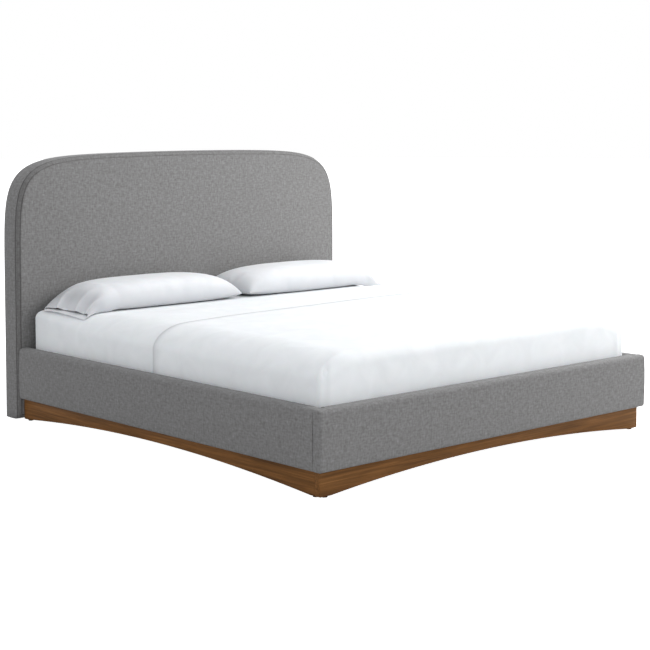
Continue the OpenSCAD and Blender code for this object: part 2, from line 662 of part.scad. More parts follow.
// Distance of a pillow's inner end from the bed's middle, towards its own side
function pillow_start(s) = pillow_gap / 2 + linen_t + (s == "left" ? -pillow_shift : pillow_shift);
module pillow_form(s, g) cushion([pillow_start(s), pillow_y0, pillow_z0], [pillow_l, pillow_w, pillow_h], g);
module pillow(s) color("white") on_side(s) pillow_form(s, 0);
module pillowcase(s) color("white") on_side(s) let (x1 = pillow_start(s) + pillow_l, mouth = case_mouth)
    difference() {
        union() {
            pillow_form(s, linen_t);
            block([x1 - over, pillow_y0 - linen_t, pillow_z0], [x1 + case_hem_l, pillow_y1 + linen_t,
                                                               pillow_z0 + mouth + 2 * linen_t]);
        }
        pillow_form(s, 0);
        block([x1 - over, pillow_y0, pillow_z0 + linen_t],
              [x1 + case_hem_l + over, pillow_y1, pillow_z0 + linen_t + mouth]);
    }

headboard_post("left");  // headboard_post_left
headboard_post("right");  // headboard_post_right
headboard_arch_rib();
headboard_mid_rail();
headboard_bottom_rail();
headboard_center_stile();
headboard_front_panel();
headboard_back_panel();
headboard_foam();
headboard_front_cover();
headboard_border_cover();
headboard_back_cover();
headboard_glides();
side_rail_core("left");  // side_rail_core_left
side_rail_core("right");  // side_rail_core_right
side_rail_foam("left");  // side_rail_foam_left
side_rail_foam("right");  // side_rail_foam_right
side_rail_cover("left");  // side_rail_cover_left
side_rail_cover("right");  // side_rail_cover_right
foot_rail_core();
foot_rail_foam();
foot_rail_cover();
side_plinth("left");  // side_plinth_left
side_plinth("right");  // side_plinth_right
foot_plinth();
plinth_block("left");  // plinth_block_left
plinth_block("right");  // plinth_block_right
plinth_screws();
plinth_glides();
slat_cleat("left");  // slat_cleat_left
slat_cleat("right");  // slat_cleat_right
slats("left");  // slats_left
slats("right");  // slats_right
slat_tapes("left");  // slat_tapes_left
slat_tapes("right");  // slat_tapes_right
deck_screws();
head_bracket("left");  // head_bracket_left
head_bracket("right");  // head_bracket_right
foot_bracket("left");  // foot_bracket_left
foot_bracket("right");  // foot_bracket_right
head_bolts();
tee_nuts();
bracket_screws();
center_beam();
beam_saddle_head();
beam_saddle_foot();
saddle_screws();
for (i = [1:leg_count]) {
    center_leg(i);
    leveller(i);
}
mattress();
fitted_sheet();
flat_sheet();
pillow("left");  // pillow_left
pillow("right");  // pillow_right
pillowcase("left");  // pillowcase_left
pillowcase("right");  // pillowcase_right
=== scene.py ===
# %% [markdown]
# # A made-up bed: padded headboard and rails on an arched walnut plinth
# The wooden frame, brackets, slats and feet come ready from the CAD model, so here they only get
# finishes. The soft work is modelled here: woven covers over foam, a dressed mattress, two pillows.
# Everything is in metres, and each place is read from the CAD model instead of being typed in.

# %% Load the frame
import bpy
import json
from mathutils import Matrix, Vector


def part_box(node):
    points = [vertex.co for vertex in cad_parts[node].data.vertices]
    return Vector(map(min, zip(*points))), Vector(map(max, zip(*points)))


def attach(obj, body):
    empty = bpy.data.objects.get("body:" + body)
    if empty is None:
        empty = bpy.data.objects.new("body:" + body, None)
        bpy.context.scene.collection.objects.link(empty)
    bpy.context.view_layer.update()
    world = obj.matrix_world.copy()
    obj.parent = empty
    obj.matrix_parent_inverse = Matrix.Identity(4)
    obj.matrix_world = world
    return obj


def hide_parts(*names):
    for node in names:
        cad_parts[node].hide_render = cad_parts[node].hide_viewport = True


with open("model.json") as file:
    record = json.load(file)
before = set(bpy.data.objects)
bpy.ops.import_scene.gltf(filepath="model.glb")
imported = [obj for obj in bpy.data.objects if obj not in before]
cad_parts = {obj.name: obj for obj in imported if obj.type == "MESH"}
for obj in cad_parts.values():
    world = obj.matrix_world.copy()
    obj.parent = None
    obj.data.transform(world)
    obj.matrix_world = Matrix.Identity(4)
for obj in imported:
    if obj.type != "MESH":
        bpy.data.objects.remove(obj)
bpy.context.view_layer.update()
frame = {"nodes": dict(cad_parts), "record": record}

import json
import math
import bpy
import bmesh
import numpy as np
from mathutils import Vector, noise
from mathutils.bvhtree import BVHTree

MM = 0.001

# %% [markdown]
# ## Small tools for shaders
# Colours are easiest to choose as sRGB hex codes, but shaders add up light, so one function turns a
# code into linear values. One more function adds a node with its settings and its links, which keeps
# every material below to a short list of what is connected to what. The others are steps that many
# materials share: mottled noise, a weighted sum, a colour ramp, painted shade and fine relief.

# %% Colours and nodes
def linear(code):
    """An sRGB hex code as the linear colour that shaders work in."""
    parts = [int(code[i:i + 2], 16) / 255 for i in (1, 3, 5)]
    return [c / 12.92 if c <= 0.04045 else ((c + 0.055) / 1.055) ** 2.4 for c in parts] + [1.0]


def add(tree, kind, inputs=None, stops=None, **settings):
    """Adds one node: its settings, a ramp's stops, and inputs that are values or other nodes' outputs."""
    node = tree.nodes.new(kind)
    for name, value in settings.items():
        setattr(node, name, value)
    for place, (position, code) in enumerate(stops or []):
        ramp = node.color_ramp.elements
        stop = ramp[place] if place < 2 else ramp.new(position)
        stop.position, stop.color = position, linear(code)
    for key, value in (inputs or {}).items():
        if isinstance(value, bpy.types.NodeSocket):
            tree.links.new(value, node.inputs[key])
        else:
            node.inputs[key].default_value = value
    return node


def finish_of(name, **shader_inputs):
    """A new material, with its node tree and a shader whose plain inputs are set."""
    material = bpy.data.materials.new(name)
    material.use_nodes = True
    tree = material.node_tree
    tree.nodes.clear()
    names = {key.replace("_", " "): value for key, value in shader_inputs.items()}
    shader = add(tree, "ShaderNodeBsdfPrincipled", names)
    add(tree, "ShaderNodeOutputMaterial", {"Surface": shader.outputs[0]})
    return material, tree, shader


def mottle(tree, vector, scale, detail, dimensions="3D", **more):
    """A noise texture's value: patches about 1 / scale wide, which get finer parts with more detail."""
    values = {"Vector": vector, "Scale": scale, "Detail": detail, **more}
    return add(tree, "ShaderNodeTexNoise", values, noise_dimensions=dimensions).outputs[0]


def weighted(tree, value, weight, other):
    """A value times its weight, plus another value."""
    return add(tree, "ShaderNodeMath", {0: value, 1: weight, 2: other}, operation="MULTIPLY_ADD").outputs[0]


def colour_by(tree, shader, value, stops):
    """Base colour that follows a value along a colour ramp."""
    tone = add(tree, "ShaderNodeValToRGB", {"Fac": value}, stops=stops)
    tree.links.new(tone.outputs[0], shader.inputs["Base Color"])


def paint_shade(tree, shader, colour, code):
    """Painted shade: base colour that turns to a darker one where the value marked on the points rises."""
    depth = add(tree, "ShaderNodeAttribute", attribute_name="painted_shade").outputs["Fac"]
    dark = add(tree, "ShaderNodeMix", {"Factor": depth, 6: colour, 7: linear(code)}, data_type="RGBA")
    tree.links.new(dark.outputs[2], shader.inputs["Base Color"])


def relief(tree, shader, height, strength, distance):
    """Fine relief: how strongly it catches the light, and how deep its full height runs."""
    bump = add(tree, "ShaderNodeBump", {"Strength": strength, "Distance": distance, "Height": height})
    tree.links.new(bump.outputs[0], shader.inputs["Normal"])


print("mid grey in linear light:", [round(c, 3) for c in linear("#808080")])

# %% [markdown]
# ## Camera, light and floor
# Furniture is usually shown from a front corner with a long lens, so its edges stay nearly parallel.
# The lens is shifted down a little: the camera then looks almost level, and uprights stay upright.
# The light is an even white room with four soft boxes: a key light at the front right, one at the
# right, a small one for the headboard and a weak one above the pillows. The floor is plain paint, but
# it shows the camera its own glow, as an overlit studio floor does.

# %% Camera
LENS = 87.98                          # focal length in mm, for a sensor 36 mm wide
SHIFT_DOWN = 0.154                    # shift of the lens, as a share of the picture's width
CAMERA_PLACE = (-5.064, -5.563, 1.504)
HEADING, LOOKS_DOWN = -42.49, 4.21    # in degrees
camera_data = bpy.data.cameras.new("studio_camera")
camera_data.sensor_width = 36
camera_data.lens = LENS
camera_data.shift_y = -SHIFT_DOWN
camera = bpy.data.objects.new("studio_camera", camera_data)
camera.location = CAMERA_PLACE
camera.rotation_euler = (math.radians(90 - LOOKS_DOWN), 0, math.radians(HEADING))
bpy.context.scene.collection.objects.link(camera)
bpy.context.scene.camera = camera
bpy.context.scene.view_settings.view_transform = "Standard"
print("camera heading", HEADING, "degrees, looking", LOOKS_DOWN, "degrees down")

# %% Light
ROOM_LIGHT = 0.83
world = bpy.data.worlds.new("white_room")
bpy.context.scene.world = world
world.use_nodes = True
air = world.node_tree
air.nodes.clear()
path = add(air, "ShaderNodeLightPath")
glow = add(air, "ShaderNodeBackground", {"Color": linear("#fbfcff"), "Strength": ROOM_LIGHT})
plain = add(air, "ShaderNodeBackground", {"Color": linear("#ffffff"), "Strength": 1.0})
room = add(air, "ShaderNodeMixShader",
           {0: path.outputs["Is Camera Ray"], 1: glow.outputs[0], 2: plain.outputs[0]})
add(air, "ShaderNodeOutputWorld", {"Surface": room.outputs[0]})


def soft_box(name, place, target, size, power):
    """A square area light that faces its target."""
    data = bpy.data.lights.new(name, "AREA")
    data.shape = "SQUARE"
    data.size = size
    data.energy = power
    light = bpy.data.objects.new(name, data)
    light.location = place
    light.rotation_euler = (Vector(target) - Vector(place)).to_track_quat("-Z", "Y").to_euler()
    bpy.context.scene.collection.objects.link(light)
    return light


soft_box("key_soft_box", (3.4, -3.6, 3.6), (0.2, 0.4, 0.5), 2.4, 88)
soft_box("headboard_soft_box", (2.3, -0.9, 2.9), (0.6, 1.1, 0.8), 1.2, 20)
soft_box("side_soft_box", (4.6, -1.0, 2.2), (0.2, 0.4, 0.5), 2.0, 114)
soft_box("pillow_soft_box", (-0.1, 1.35, 3.4), (-0.1, 0.75, 0.6), 1.8, 5)
print("room light", ROOM_LIGHT, "and four soft boxes")

# %% Floor
FLOOR_RADIUS = 40.0
FLOOR_PAINT = "#dadada", "#dedede"
FLOOR_GLOW = "#ffffff"
material, tree, shader = finish_of("white_painted_floor", Roughness=0.9)
speckle = add(tree, "ShaderNodeTexNoise", {"Scale": 3.0, "Detail": 3.0})
paint = add(tree, "ShaderNodeMix", {"Factor": speckle.outputs[0], 6: linear(FLOOR_PAINT[0]),
                                    7: linear(FLOOR_PAINT[1])}, data_type="RGBA")
tree.links.new(paint.outputs[2], shader.inputs["Base Color"])
seen = add(tree, "ShaderNodeLightPath").outputs["Is Camera Ray"]
tree.links.new(seen, shader.inputs["Emission Strength"])
shader.inputs["Emission Color"].default_value = linear(FLOOR_GLOW)
floor_bm = bmesh.new()
bmesh.ops.create_circle(floor_bm, cap_ends=True, segments=96, radius=FLOOR_RADIUS)
floor_mesh = bpy.data.meshes.new("studio_floor")
floor_bm.to_mesh(floor_mesh)
floor_bm.free()
floor = bpy.data.objects.new("studio_floor", floor_mesh)
floor.data.materials.append(material)
bpy.context.scene.collection.objects.link(floor)
print("floor radius", FLOOR_RADIUS)

# %% [markdown]
# ## Small tools for cloth and foam
# Covers, sheets and pads are built as rows of points with a skin of four-sided faces between the
# rows, much as a patternmaker drafts a shape from its sections. The cloth's texture is laid on in
# real metres: each face takes it from the side that it faces, so threads keep their true size.

# %% Skins from rows of points
def piece(name, points, faces, material, body="frame"):
    """An object made of points and faces, with its finish and the body it rides on."""
    mesh = bpy.data.meshes.new(name)
    mesh.from_pydata([tuple(map(float, p)) for p in points], [], faces)
    bm = bmesh.new()
    bm.from_mesh(mesh)
    bmesh.ops.remove_doubles(bm, verts=bm.verts, dist=1e-6)
    bmesh.ops.dissolve_degenerate(bm, edges=bm.edges, dist=1e-7)
    bm.to_mesh(mesh)
    bm.free()
    mesh.shade_smooth()
    mesh.materials.append(material)
    obj = bpy.data.objects.new(name, mesh)
    bpy.context.scene.collection.objects.link(obj)
    lay_texture(mesh)
    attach(obj, body)
    return obj


def lay_texture(mesh):
    """Texture coordinates in metres, taken along the axis that each face looks along."""
    layer = mesh.uv_layers.new(name="metres")
    for face in mesh.polygons:
        axis = max(range(3), key=lambda k: abs(face.normal[k]))
        across, up = [(1, 2), (0, 2), (0, 1)][axis]
        for loop in face.loop_indices:
            point = mesh.vertices[mesh.loops[loop].vertex_index].co
            layer.data[loop].uv = (point[across], point[up])


def skin_faces(rows, columns, closed=False):
    """Four-sided faces between rows of points, round a closed loop if asked."""
    faces = []
    for row in range(rows - 1):
        for column in range(columns if closed else columns - 1):
            after = (column + 1) % columns
            a, b = row * columns, (row + 1) * columns
            faces.append((a + column, a + after, b + after, b + column))
    return faces


def mark(obj, name, value_at):
    """Gives each point a value that its material can read, such as how much shade is painted on it."""
    layer = obj.data.attributes.new(name, "FLOAT", "POINT")
    for vertex in obj.data.vertices:
        layer.data[vertex.index].value = value_at(vertex.co)


def thicken(obj, thickness, offset=-1):
    """Real thickness for a skin: a Solidify modifier that works inwards, or both ways at offset 0."""
    modifier = obj.modifiers.new("thickness", "SOLIDIFY")
    modifier.thickness = thickness
    modifier.offset = offset


def ease(value, low, high):
    """0 below low, 1 above high, and a smooth step between."""
    t = min(max((value - low) / (high - low), 0.0), 1.0)
    return t * t * (3 - 2 * t)


def ripple(point, size, seed=0.0):
    """Smooth noise from about -1 to 1 whose bumps are about size across."""
    return noise.noise(Vector(point) / size + Vector((seed, 1.7 * seed, 0.3 * seed)))


print("ease half way:", ease(0.5, 0, 1))

# %% [markdown]
# ## Heathered upholstery fabric
# The covers are a woven polyester that looks like linen: light and dark fibres are spun together,
# so the cloth is a mottled grey, and thick places in the yarn make short streaks both ways. The
# threads are about 0.8 mm apart. That is too fine to show from across a room, so the streaks are
# drawn 24 mm long and the weave 2.5 mm apart, about three times coarser than the real one.

# %% Woven upholstery material
STREAK = (24 * MM, 8 * MM)            # length and width of a thick place in the yarn
FIBRE = 9 * MM                        # size of the light and dark flecks
WEAVE = 2.5 * MM                      # distance between drawn threads
WAVE_UNIT = 2 * math.pi / 20          # a wave texture of scale 1 repeats after this many metres


def crossed(tree, vector, spacing, more=None):
    """Two sets of bands at right angles, multiplied: the threads of a weave, or rows of quilting."""
    bands = {"Vector": vector, "Scale": WAVE_UNIT / spacing, **(more or {})}
    ways = [add(tree, "ShaderNodeTexWave", bands, bands_direction=way).outputs["Fac"] for way in ("X", "Y")]
    return add(tree, "ShaderNodeMath", {0: ways[0], 1: ways[1]}, operation="MULTIPLY").outputs[0]


def woven_upholstery():
    """Polyester with a linen look: matt, with a soft fuzz that lifts the edges a little."""
    material, tree, shader = finish_of("woven_heathered_polyester", Roughness=0.92, Sheen_Weight=0.12,
                                       Sheen_Roughness=0.5, Specular_IOR_Level=0.25)
    metres = add(tree, "ShaderNodeUVMap", uv_map="metres").outputs[0]
    streaks = []
    for scale in [(1 / STREAK[0], 1 / STREAK[1], 1), (1 / STREAK[1], 1 / STREAK[0], 1)]:
        run = add(tree, "ShaderNodeMapping", {"Vector": metres, "Scale": scale})
        streaks.append(mottle(tree, run.outputs[0], 1.0, 1.0, "2D", Roughness=0.5))
    flecks = mottle(tree, metres, 1 / FIBRE, 1.0, "2D", Roughness=0.5)
    clouds = mottle(tree, metres, 9.0, 2.0, "2D")
    both = add(tree, "ShaderNodeMath", {0: streaks[0], 1: streaks[1]}, operation="ADD").outputs[0]
    more = weighted(tree, flecks, 0.5, both)
    total = weighted(tree, clouds, 0.12, more)
    shade = add(tree, "ShaderNodeMapRange", {"Value": total, "From Min": 0.46, "From Max": 2.21}).outputs[0]
    tones = add(tree, "ShaderNodeValToRGB", {"Fac": shade},
                stops=[(0.0, "#63615f"), (1.0, "#979796"), (0.45, "#7b7a79"), (0.7, "#868685")])
    # Painted shade: the cloth turns towards this dark grey in the headboard's seams and on the band between
    # them.
    paint_shade(tree, shader, tones.outputs[0], "#3c3a37")
    cloth = crossed(tree, metres, WEAVE, {"Distortion": 0.6, "Detail": 1.0, "Detail Scale": 1.5})
    height = weighted(tree, shade, 0.8, cloth)
    relief(tree, shader, height, 0.35, 0.6 * MM)
    return material


UPHOLSTERY = woven_upholstery()
print("streaks", [round(s / MM, 1) for s in STREAK], "mm, threads every", WEAVE / MM, "mm")

# %% [markdown]
# ## Polyurethane foam
# Foam pads lie under every cover. Cut foam is matt and cream, with open cells that are a fraction of
# a millimetre wide. Here the cells are drawn 2.5 mm wide, so that a cut edge still shows them.

# %% Foam material
def open_cell_foam():
    """Cut polyurethane foam: matt, slightly see-through at thin edges, full of small pits."""
    material, tree, shader = finish_of("cut_polyurethane_foam", Roughness=0.95, Specular_IOR_Level=0.2,
                                       Subsurface_Weight=0.08, Subsurface_Scale=2 * MM)
    spot = add(tree, "ShaderNodeTexCoord").outputs["Object"]
    cells = add(tree, "ShaderNodeTexVoronoi", {"Vector": spot, "Scale": 1 / (2.5 * MM)}).outputs[0]
    patches = mottle(tree, spot, 14.0, 3.0)
    total = weighted(tree, cells, 0.5, patches)
    colour_by(tree, shader, total, [(0.3, "#d9cfae"), (1.0, "#efe8d2")])
    relief(tree, shader, cells, 0.5, 0.8 * MM)
    return material


FOAM = open_cell_foam()
print("foam cells drawn 2.5 mm wide")

# %% [markdown]
# ## The headboard's outline
# The headboard is a flat board whose sides run straight up and then turn over into a slightly crowned
# top. That outline is a superellipse: the same formula as an ellipse with a higher power, which keeps
# the sides nearly straight and puts the turn in the shoulders.

# %% Outline of the headboard
HEAD_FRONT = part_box("headboard_front_cover")[0][1]
HEAD_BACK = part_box("headboard_back_cover")[1][1]
HEAD_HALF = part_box("headboard_back_cover")[1][0]
HEAD_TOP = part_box("headboard_back_cover")[1][2]
HEAD_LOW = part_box("headboard_back_cover")[0][2] - 0.5 * MM   # cloth passes under the frame's posts
CURVE_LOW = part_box("headboard_arch_rib")[0][2]
SQUARENESS = 7.9                      # power of the superellipse
CROWN = 20 * MM                       # how much lower the top's ends are than its middle


def headboard_outline(steps=34):
    """Points [x, z] round the headboard, from its bottom right corner over the top and back."""
    turn = 0.5 ** (1 / SQUARENESS)
    low = []
    for i in range(steps + 1):
        v = turn * (1 - (1 - i / steps) ** 1.5)
        low.append(((1 - v ** SQUARENESS) ** (1 / SQUARENESS), v))
    quarter = low + [(b, a) for a, b in reversed(low[:-1])]
    rise = HEAD_TOP - CURVE_LOW
    curve = [(HEAD_HALF * a, CURVE_LOW + (rise - CROWN * a * a) * b) for a, b in quarter]
    straight = [(HEAD_HALF, z) for z in np.linspace(HEAD_LOW, CURVE_LOW, 16)[:-1]]
    right = straight + curve
    left = [(-x, z) for x, z in reversed(right[:-1])]
    bottom = [(x, HEAD_LOW) for x in np.linspace(-HEAD_HALF, HEAD_HALF, 50)[1:-1]]
    return np.array(right + left + bottom)


def outward(outline):
    """Mitred outward direction at each point of a closed outline that runs anticlockwise."""
    along = np.roll(outline, -1, axis=0) - outline
    along /= np.linalg.norm(along, axis=1)[:, None]
    normal = np.stack([along[:, 1], -along[:, 0]], axis=1)
    before = np.roll(normal, 1, axis=0)
    return (normal + before) / (1 + (normal * before).sum(axis=1))[:, None]


OUTLINE = headboard_outline()
OUTWARD = outward(OUTLINE)
print(len(OUTLINE), "points round the headboard, width", round(2 * HEAD_HALF, 3), "m")

# %% [markdown]
# ## The headboard's cover
# The real cover is cut from a front panel and a long border strip, sewn together round the front edge.
# The seam allowance is folded to one side and stitched down, which leaves two sunk lines with a flat
# band between them. Each line here is a groove 2.5 mm deep. The points in the grooves and on the band
# carry a value of painted shade, which darkens the cloth there. Foam rounds the edge to 31 mm.

# %% Front panel
EDGE_RADIUS = 31 * MM
SEAM_ANGLES = (24.0, 68.0)            # round the edge from its side to its front, in degrees
GROOVE_HALF = 5.0                     # half width of a groove, in degrees
GROOVE_DEPTH = 2.5 * MM
SEAM_SHADE, BAND_SHADE = 0.85, 0.26   # painted shade: how dark the cloth is painted in a seam, and between the two seams
FRONT_CROWN = 4 * MM                  # how far the padding swells in the middle of the front
FLAT_FROM = 14 * MM                   # the flat front starts this far inside the rounded edge
PANEL_CLOTH = 2 * MM                  # thickness of the headboard's cover


def seam_depth(angle):
    """How deep a place on the rounded edge lies in a seam: 1 in a seam, 0 away from it."""
    return max(max(0.0, 1 - abs(angle - seam) / GROOVE_HALF) for seam in SEAM_ANGLES)


def front_crown(x, z):
    """How far the padded front stands out: nothing near the edges and behind the mattress."""
    swell = ease(HEAD_HALF - abs(x), 0.03, 0.35) * ease(HEAD_TOP - z, 0.03, 0.30) * ease(z, 0.40, 0.75)
    return FRONT_CROWN * swell + 0.5 * MM * ripple((x, z, 0), 0.22) * min(1.0, 3 * swell)


def edge_row(angle, skin=0.0):
    """Offset and depth of the rounded edge at an angle, for a skin that lies deeper than the cloth."""
    radius = EDGE_RADIUS - skin - GROOVE_DEPTH * seam_depth(angle) * (skin == 0)
    turn = math.radians(angle)
    return -EDGE_RADIUS + radius * math.cos(turn), HEAD_FRONT + EDGE_RADIUS - radius * math.sin(turn)


def outline_at(offset):
    """The outline moved in or out by an offset; points that would pass a lower corner stop at it."""
    flat = OUTLINE + OUTWARD * offset
    side = HEAD_HALF + offset
    return np.column_stack([np.clip(flat[:, 0], -side, side), np.maximum(flat[:, 1], HEAD_LOW - offset)])


def ring(offset, y):
    """The headboard's outline drawn in or out by an offset, at a depth y."""
    return [(x, y, z) for x, z in outline_at(offset)]


FRONT_MIDDLE = np.array([0.0, 0.62])
SHRINK = np.linspace(0.98, 0.05, 22)   # sizes of the rings that close a flat face


def face_rings(offset, depth_at):
    """Rings that close a flat face from an offset of the outline to a point in its middle."""
    edge = outline_at(offset)
    rings = []
    for share in SHRINK:
        flat = FRONT_MIDDLE + (edge - FRONT_MIDDLE) * share
        rings.append([(x, depth_at(x, z), z) for x, z in flat])
    return rings, (FRONT_MIDDLE[0], depth_at(*FRONT_MIDDLE), FRONT_MIDDLE[1])


def ringed(rings, middle=None, first_middle=None):
    """Points and faces of closed rings, with a point that closes the last ring, or the first too."""
    count = len(rings[0])
    points = [p for one in rings for p in one]
    faces = skin_faces(len(rings), count, closed=True)
    if middle is not None:
        points.append(middle)
        last = (len(rings) - 1) * count
        faces += [(last + i, last + (i + 1) % count, len(points) - 1) for i in range(count)]
    if first_middle is not None:
        points.append(first_middle)
        faces += [((i + 1) % count, i, len(points) - 1) for i in range(count)]
    return points, faces


def seam_painted_shade(point):
    """Painted shade of a point on the rounded front edge, dark in the seams and lighter on the band between
    them, found again from where it lies.
    """
    gap = np.linalg.norm(OUTLINE - np.array([point[0], point[2]]), axis=1)
    nearest = int(gap.argmin())
    inside = -float((np.array([point[0], point[2]]) - OUTLINE[nearest]) @ OUTWARD[nearest])
    behind = point[1] - HEAD_FRONT
    if inside > EDGE_RADIUS + 4 * MM or behind > EDGE_RADIUS + 1 * MM:
        return 0.0
    angle = math.degrees(math.atan2(EDGE_RADIUS - behind, EDGE_RADIUS - inside))
    first, last = SEAM_ANGLES
    band = BAND_SHADE * ease(angle, first, first + 6) * (1 - ease(angle, last - 4, last + 14))
    top_fade = 1 - 0.55 * ease(abs(point[2]), 1.12, 1.24)      # the top seams lie in full light
    return (SEAM_SHADE * seam_depth(angle) + band * (1 - seam_depth(angle))) * top_fade


def front_depth(x, z):
    """Y of the padded front's cloth."""
    return HEAD_FRONT - front_crown(x, z)


front_angles = [24, 27, 30, 36, 43, 50, 57, 62, 65, 68, 71, 74, 80, 86]
front_rows = [ring(*edge_row(a)) for a in front_angles]
for inside in (1 * MM, FLAT_FROM):
    front_rows.append([(x, front_depth(x, z), z) for x, _, z in ring(-EDGE_RADIUS - inside, 0)])
face, middle = face_rings(-EDGE_RADIUS - FLAT_FROM, front_depth)
points, faces = ringed(front_rows + face, middle)
headboard_front = piece("headboard_front_panel_cover", points, faces, UPHOLSTERY)
# Painted shade on the front edge: dark in the two seams, lighter on the band between them.
mark(headboard_front, "painted_shade", seam_painted_shade)
thicken(headboard_front, PANEL_CLOTH)
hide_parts("headboard_front_cover")
print("front panel", len(headboard_front.data.vertices), "points")

# %% Border strip, from its hem on the back to the seam
BACK_HEM = 18 * MM
BACK_TURN = 4 * MM                    # radius with which the strip turns onto the back
turn_middle = HEAD_BACK - 4.6 * MM
strip_front = HEAD_FRONT + EDGE_RADIUS
strip_rows = [ring(-BACK_HEM, HEAD_BACK - 1 * MM), ring(-BACK_HEM / 2, HEAD_BACK - 0.8 * MM)]
for turn in np.radians((90, 60, 30, 0)):
    strip_rows.append(ring(BACK_TURN * (math.cos(turn) - 1), turn_middle + BACK_TURN * math.sin(turn)))
for share in (0.12, 0.3, 0.5, 0.7, 0.88):
    y = turn_middle + (strip_front - turn_middle) * share
    strip_rows.append(ring(0.8 * MM * math.sin(math.pi * share), y))
strip_rows += [ring(*edge_row(a)) for a in (0, 6, 12, 17, 19, 21.5, 24)]
points, faces = ringed(strip_rows)
border = piece("headboard_border_strip", points, faces, UPHOLSTERY)
# Painted shade on the strip's edge, as on the front panel.
mark(border, "painted_shade", seam_painted_shade)
thicken(border, PANEL_CLOTH)
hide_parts("headboard_border_cover")

# %% [markdown]
# ## Foam behind the front panel
# A 30 mm foam slab is glued to the plywood and its front edge is rounded off. It is a closed pad with
# the same rounded edge as the cloth, set in by the cloth's thickness, so the two follow each other.

# %% Headboard foam
SKIN = 3.2 * MM                       # how far foam lies below a cover's outside
foam_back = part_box("headboard_front_panel")[0][1] - 0.2 * MM
foam_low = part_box("headboard_foam")[0][2]


def above_floor(rows):
    """Rows with no point lower than the foam's lower edge."""
    return [[(x, y, max(z, foam_low)) for x, y, z in row] for row in rows]


def foam_depth(x, z):
    """Y of the foam's front."""
    return HEAD_FRONT + SKIN - front_crown(x, z)


pad_rows = [ring(-SKIN, foam_back)] + [ring(*edge_row(a, SKIN)) for a in (0, 12, 24, 36, 48, 60, 72, 84)]
face, middle = face_rings(-EDGE_RADIUS - 1 * MM, foam_depth)
pad_rows.append([(x, foam_depth(x, z), z) for x, _, z in ring(-EDGE_RADIUS - 1 * MM, 0)])
rear, rear_middle = face_rings(-SKIN, lambda x, z: foam_back)
rows = above_floor(rear[::-1] + pad_rows + face)
points, faces = ringed(rows, middle, rear_middle)
headboard_pad = piece("headboard_foam_slab", points, faces, FOAM)
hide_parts("headboard_foam")
print("foam slab", round((foam_back - HEAD_FRONT) / MM, 1), "mm deep behind the front")

# %% [markdown]
# ## Dust cloth and staples on the back
# The back is closed with a thin non-woven lining. Its edge is folded under and stapled every 45 mm
# over the hem of the border strip. The lining is only stretched by hand, so it ripples a little. Its
# pressed dots are about 1.5 mm apart, which is too fine to show, so they are drawn 4 mm apart.

# %% Lining material
def spunbond_lining():
    """Spunbond polypropylene: thin grey felt of loose fibres, pressed in a pattern of small dots."""
    material, tree, shader = finish_of("spunbond_polypropylene_lining", Roughness=0.88, Sheen_Weight=0.05,
                                       Specular_IOR_Level=0.3)
    metres = add(tree, "ShaderNodeUVMap", uv_map="metres").outputs[0]
    dots = add(tree, "ShaderNodeTexVoronoi", {"Vector": metres, "Scale": 1 / (4 * MM), "Randomness": 0.15},
               voronoi_dimensions="2D").outputs[0]
    fibres = mottle(tree, metres, 160.0, 4.0, "2D", Distortion=1.5)
    total = weighted(tree, dots, 0.35, fibres)
    colour_by(tree, shader, total, [(0.35, "#3f3f42"), (0.95, "#5b5b5f")])
    relief(tree, shader, total, 0.4, 0.4 * MM)
    return material


LINING = spunbond_lining()


def zinc_plated_steel():
    """Zinc plated steel: a blue-grey metal with a cloudy, slightly rough plating."""
    material, tree, shader = finish_of("zinc_plated_steel", Metallic=1.0)
    spot = add(tree, "ShaderNodeTexCoord").outputs["Object"]
    clouds = mottle(tree, spot, 220.0, 4.0)
    colour_by(tree, shader, clouds, [(0.3, "#9fa3a8"), (0.75, "#c3c7ca")])
    rough = add(tree, "ShaderNodeMapRange", {"Value": clouds, "To Min": 0.28, "To Max": 0.46})
    tree.links.new(rough.outputs[0], shader.inputs["Roughness"])
    relief(tree, shader, clouds, 0.1, 0.2 * MM)
    return material


ZINC = zinc_plated_steel()
print("lining dots drawn 4 mm apart")

# %% Lining panel with its folded edge
def lining_depth(x, z):
    """Y of the lining, which ripples away from its stapled edge."""
    inside = ease(HEAD_HALF - abs(x), 0.02, 0.12) * ease(HEAD_TOP - z, 0.02, 0.12) * ease(z, 0.02, 0.12)
    return HEAD_BACK - 0.5 * MM + 1.1 * MM * ripple((x, z, 3.0), 0.16) * inside


lining_rows = [ring(-20 * MM, HEAD_BACK - 0.9 * MM), ring(-10.5 * MM, HEAD_BACK - 0.8 * MM),
               ring(-10 * MM, HEAD_BACK - 0.3 * MM), ring(-10.8 * MM, HEAD_BACK + 0.1 * MM),
               ring(-16 * MM, HEAD_BACK + 0.1 * MM), ring(-24 * MM, HEAD_BACK - 0.2 * MM)]
face, middle = face_rings(-24 * MM, lining_depth)
points, faces = ringed(lining_rows + face, middle)
lining = piece("headboard_back_lining", points, [face[::-1] for face in faces], LINING)
thicken(lining, 0.4 * MM)
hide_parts("headboard_back_cover")
print("lining", len(lining.data.vertices), "points")

# %% Staples
BAR_SIDES = 6


def thin_bars(name, places, radius, material):
    """Many short bars in one object, each from one point to another, thinner at both ends."""
    points, faces = [], []
    for start, end in places:
        a, b = Vector(start), Vector(end)
        along = (b - a).normalized()
        side = along.orthogonal().normalized()
        other = along.cross(side)
        first = len(points)
        for share, size in ((0, 0.35), (0.18, 1), (0.82, 1), (1, 0.35)):
            for k in range(BAR_SIDES):
                turn = 2 * math.pi * k / BAR_SIDES
                spread = side * math.cos(turn) + other * math.sin(turn)
                points.append(a + (b - a) * share + spread * radius * size)
        faces += [tuple(first + k for k in face) for face in skin_faces(4, BAR_SIDES, closed=True)]
        faces += [tuple(first + k for k in reversed(range(BAR_SIDES))),
                  tuple(first + 3 * BAR_SIDES + k for k in range(BAR_SIDES))]
    return piece(name, points, faces, material)


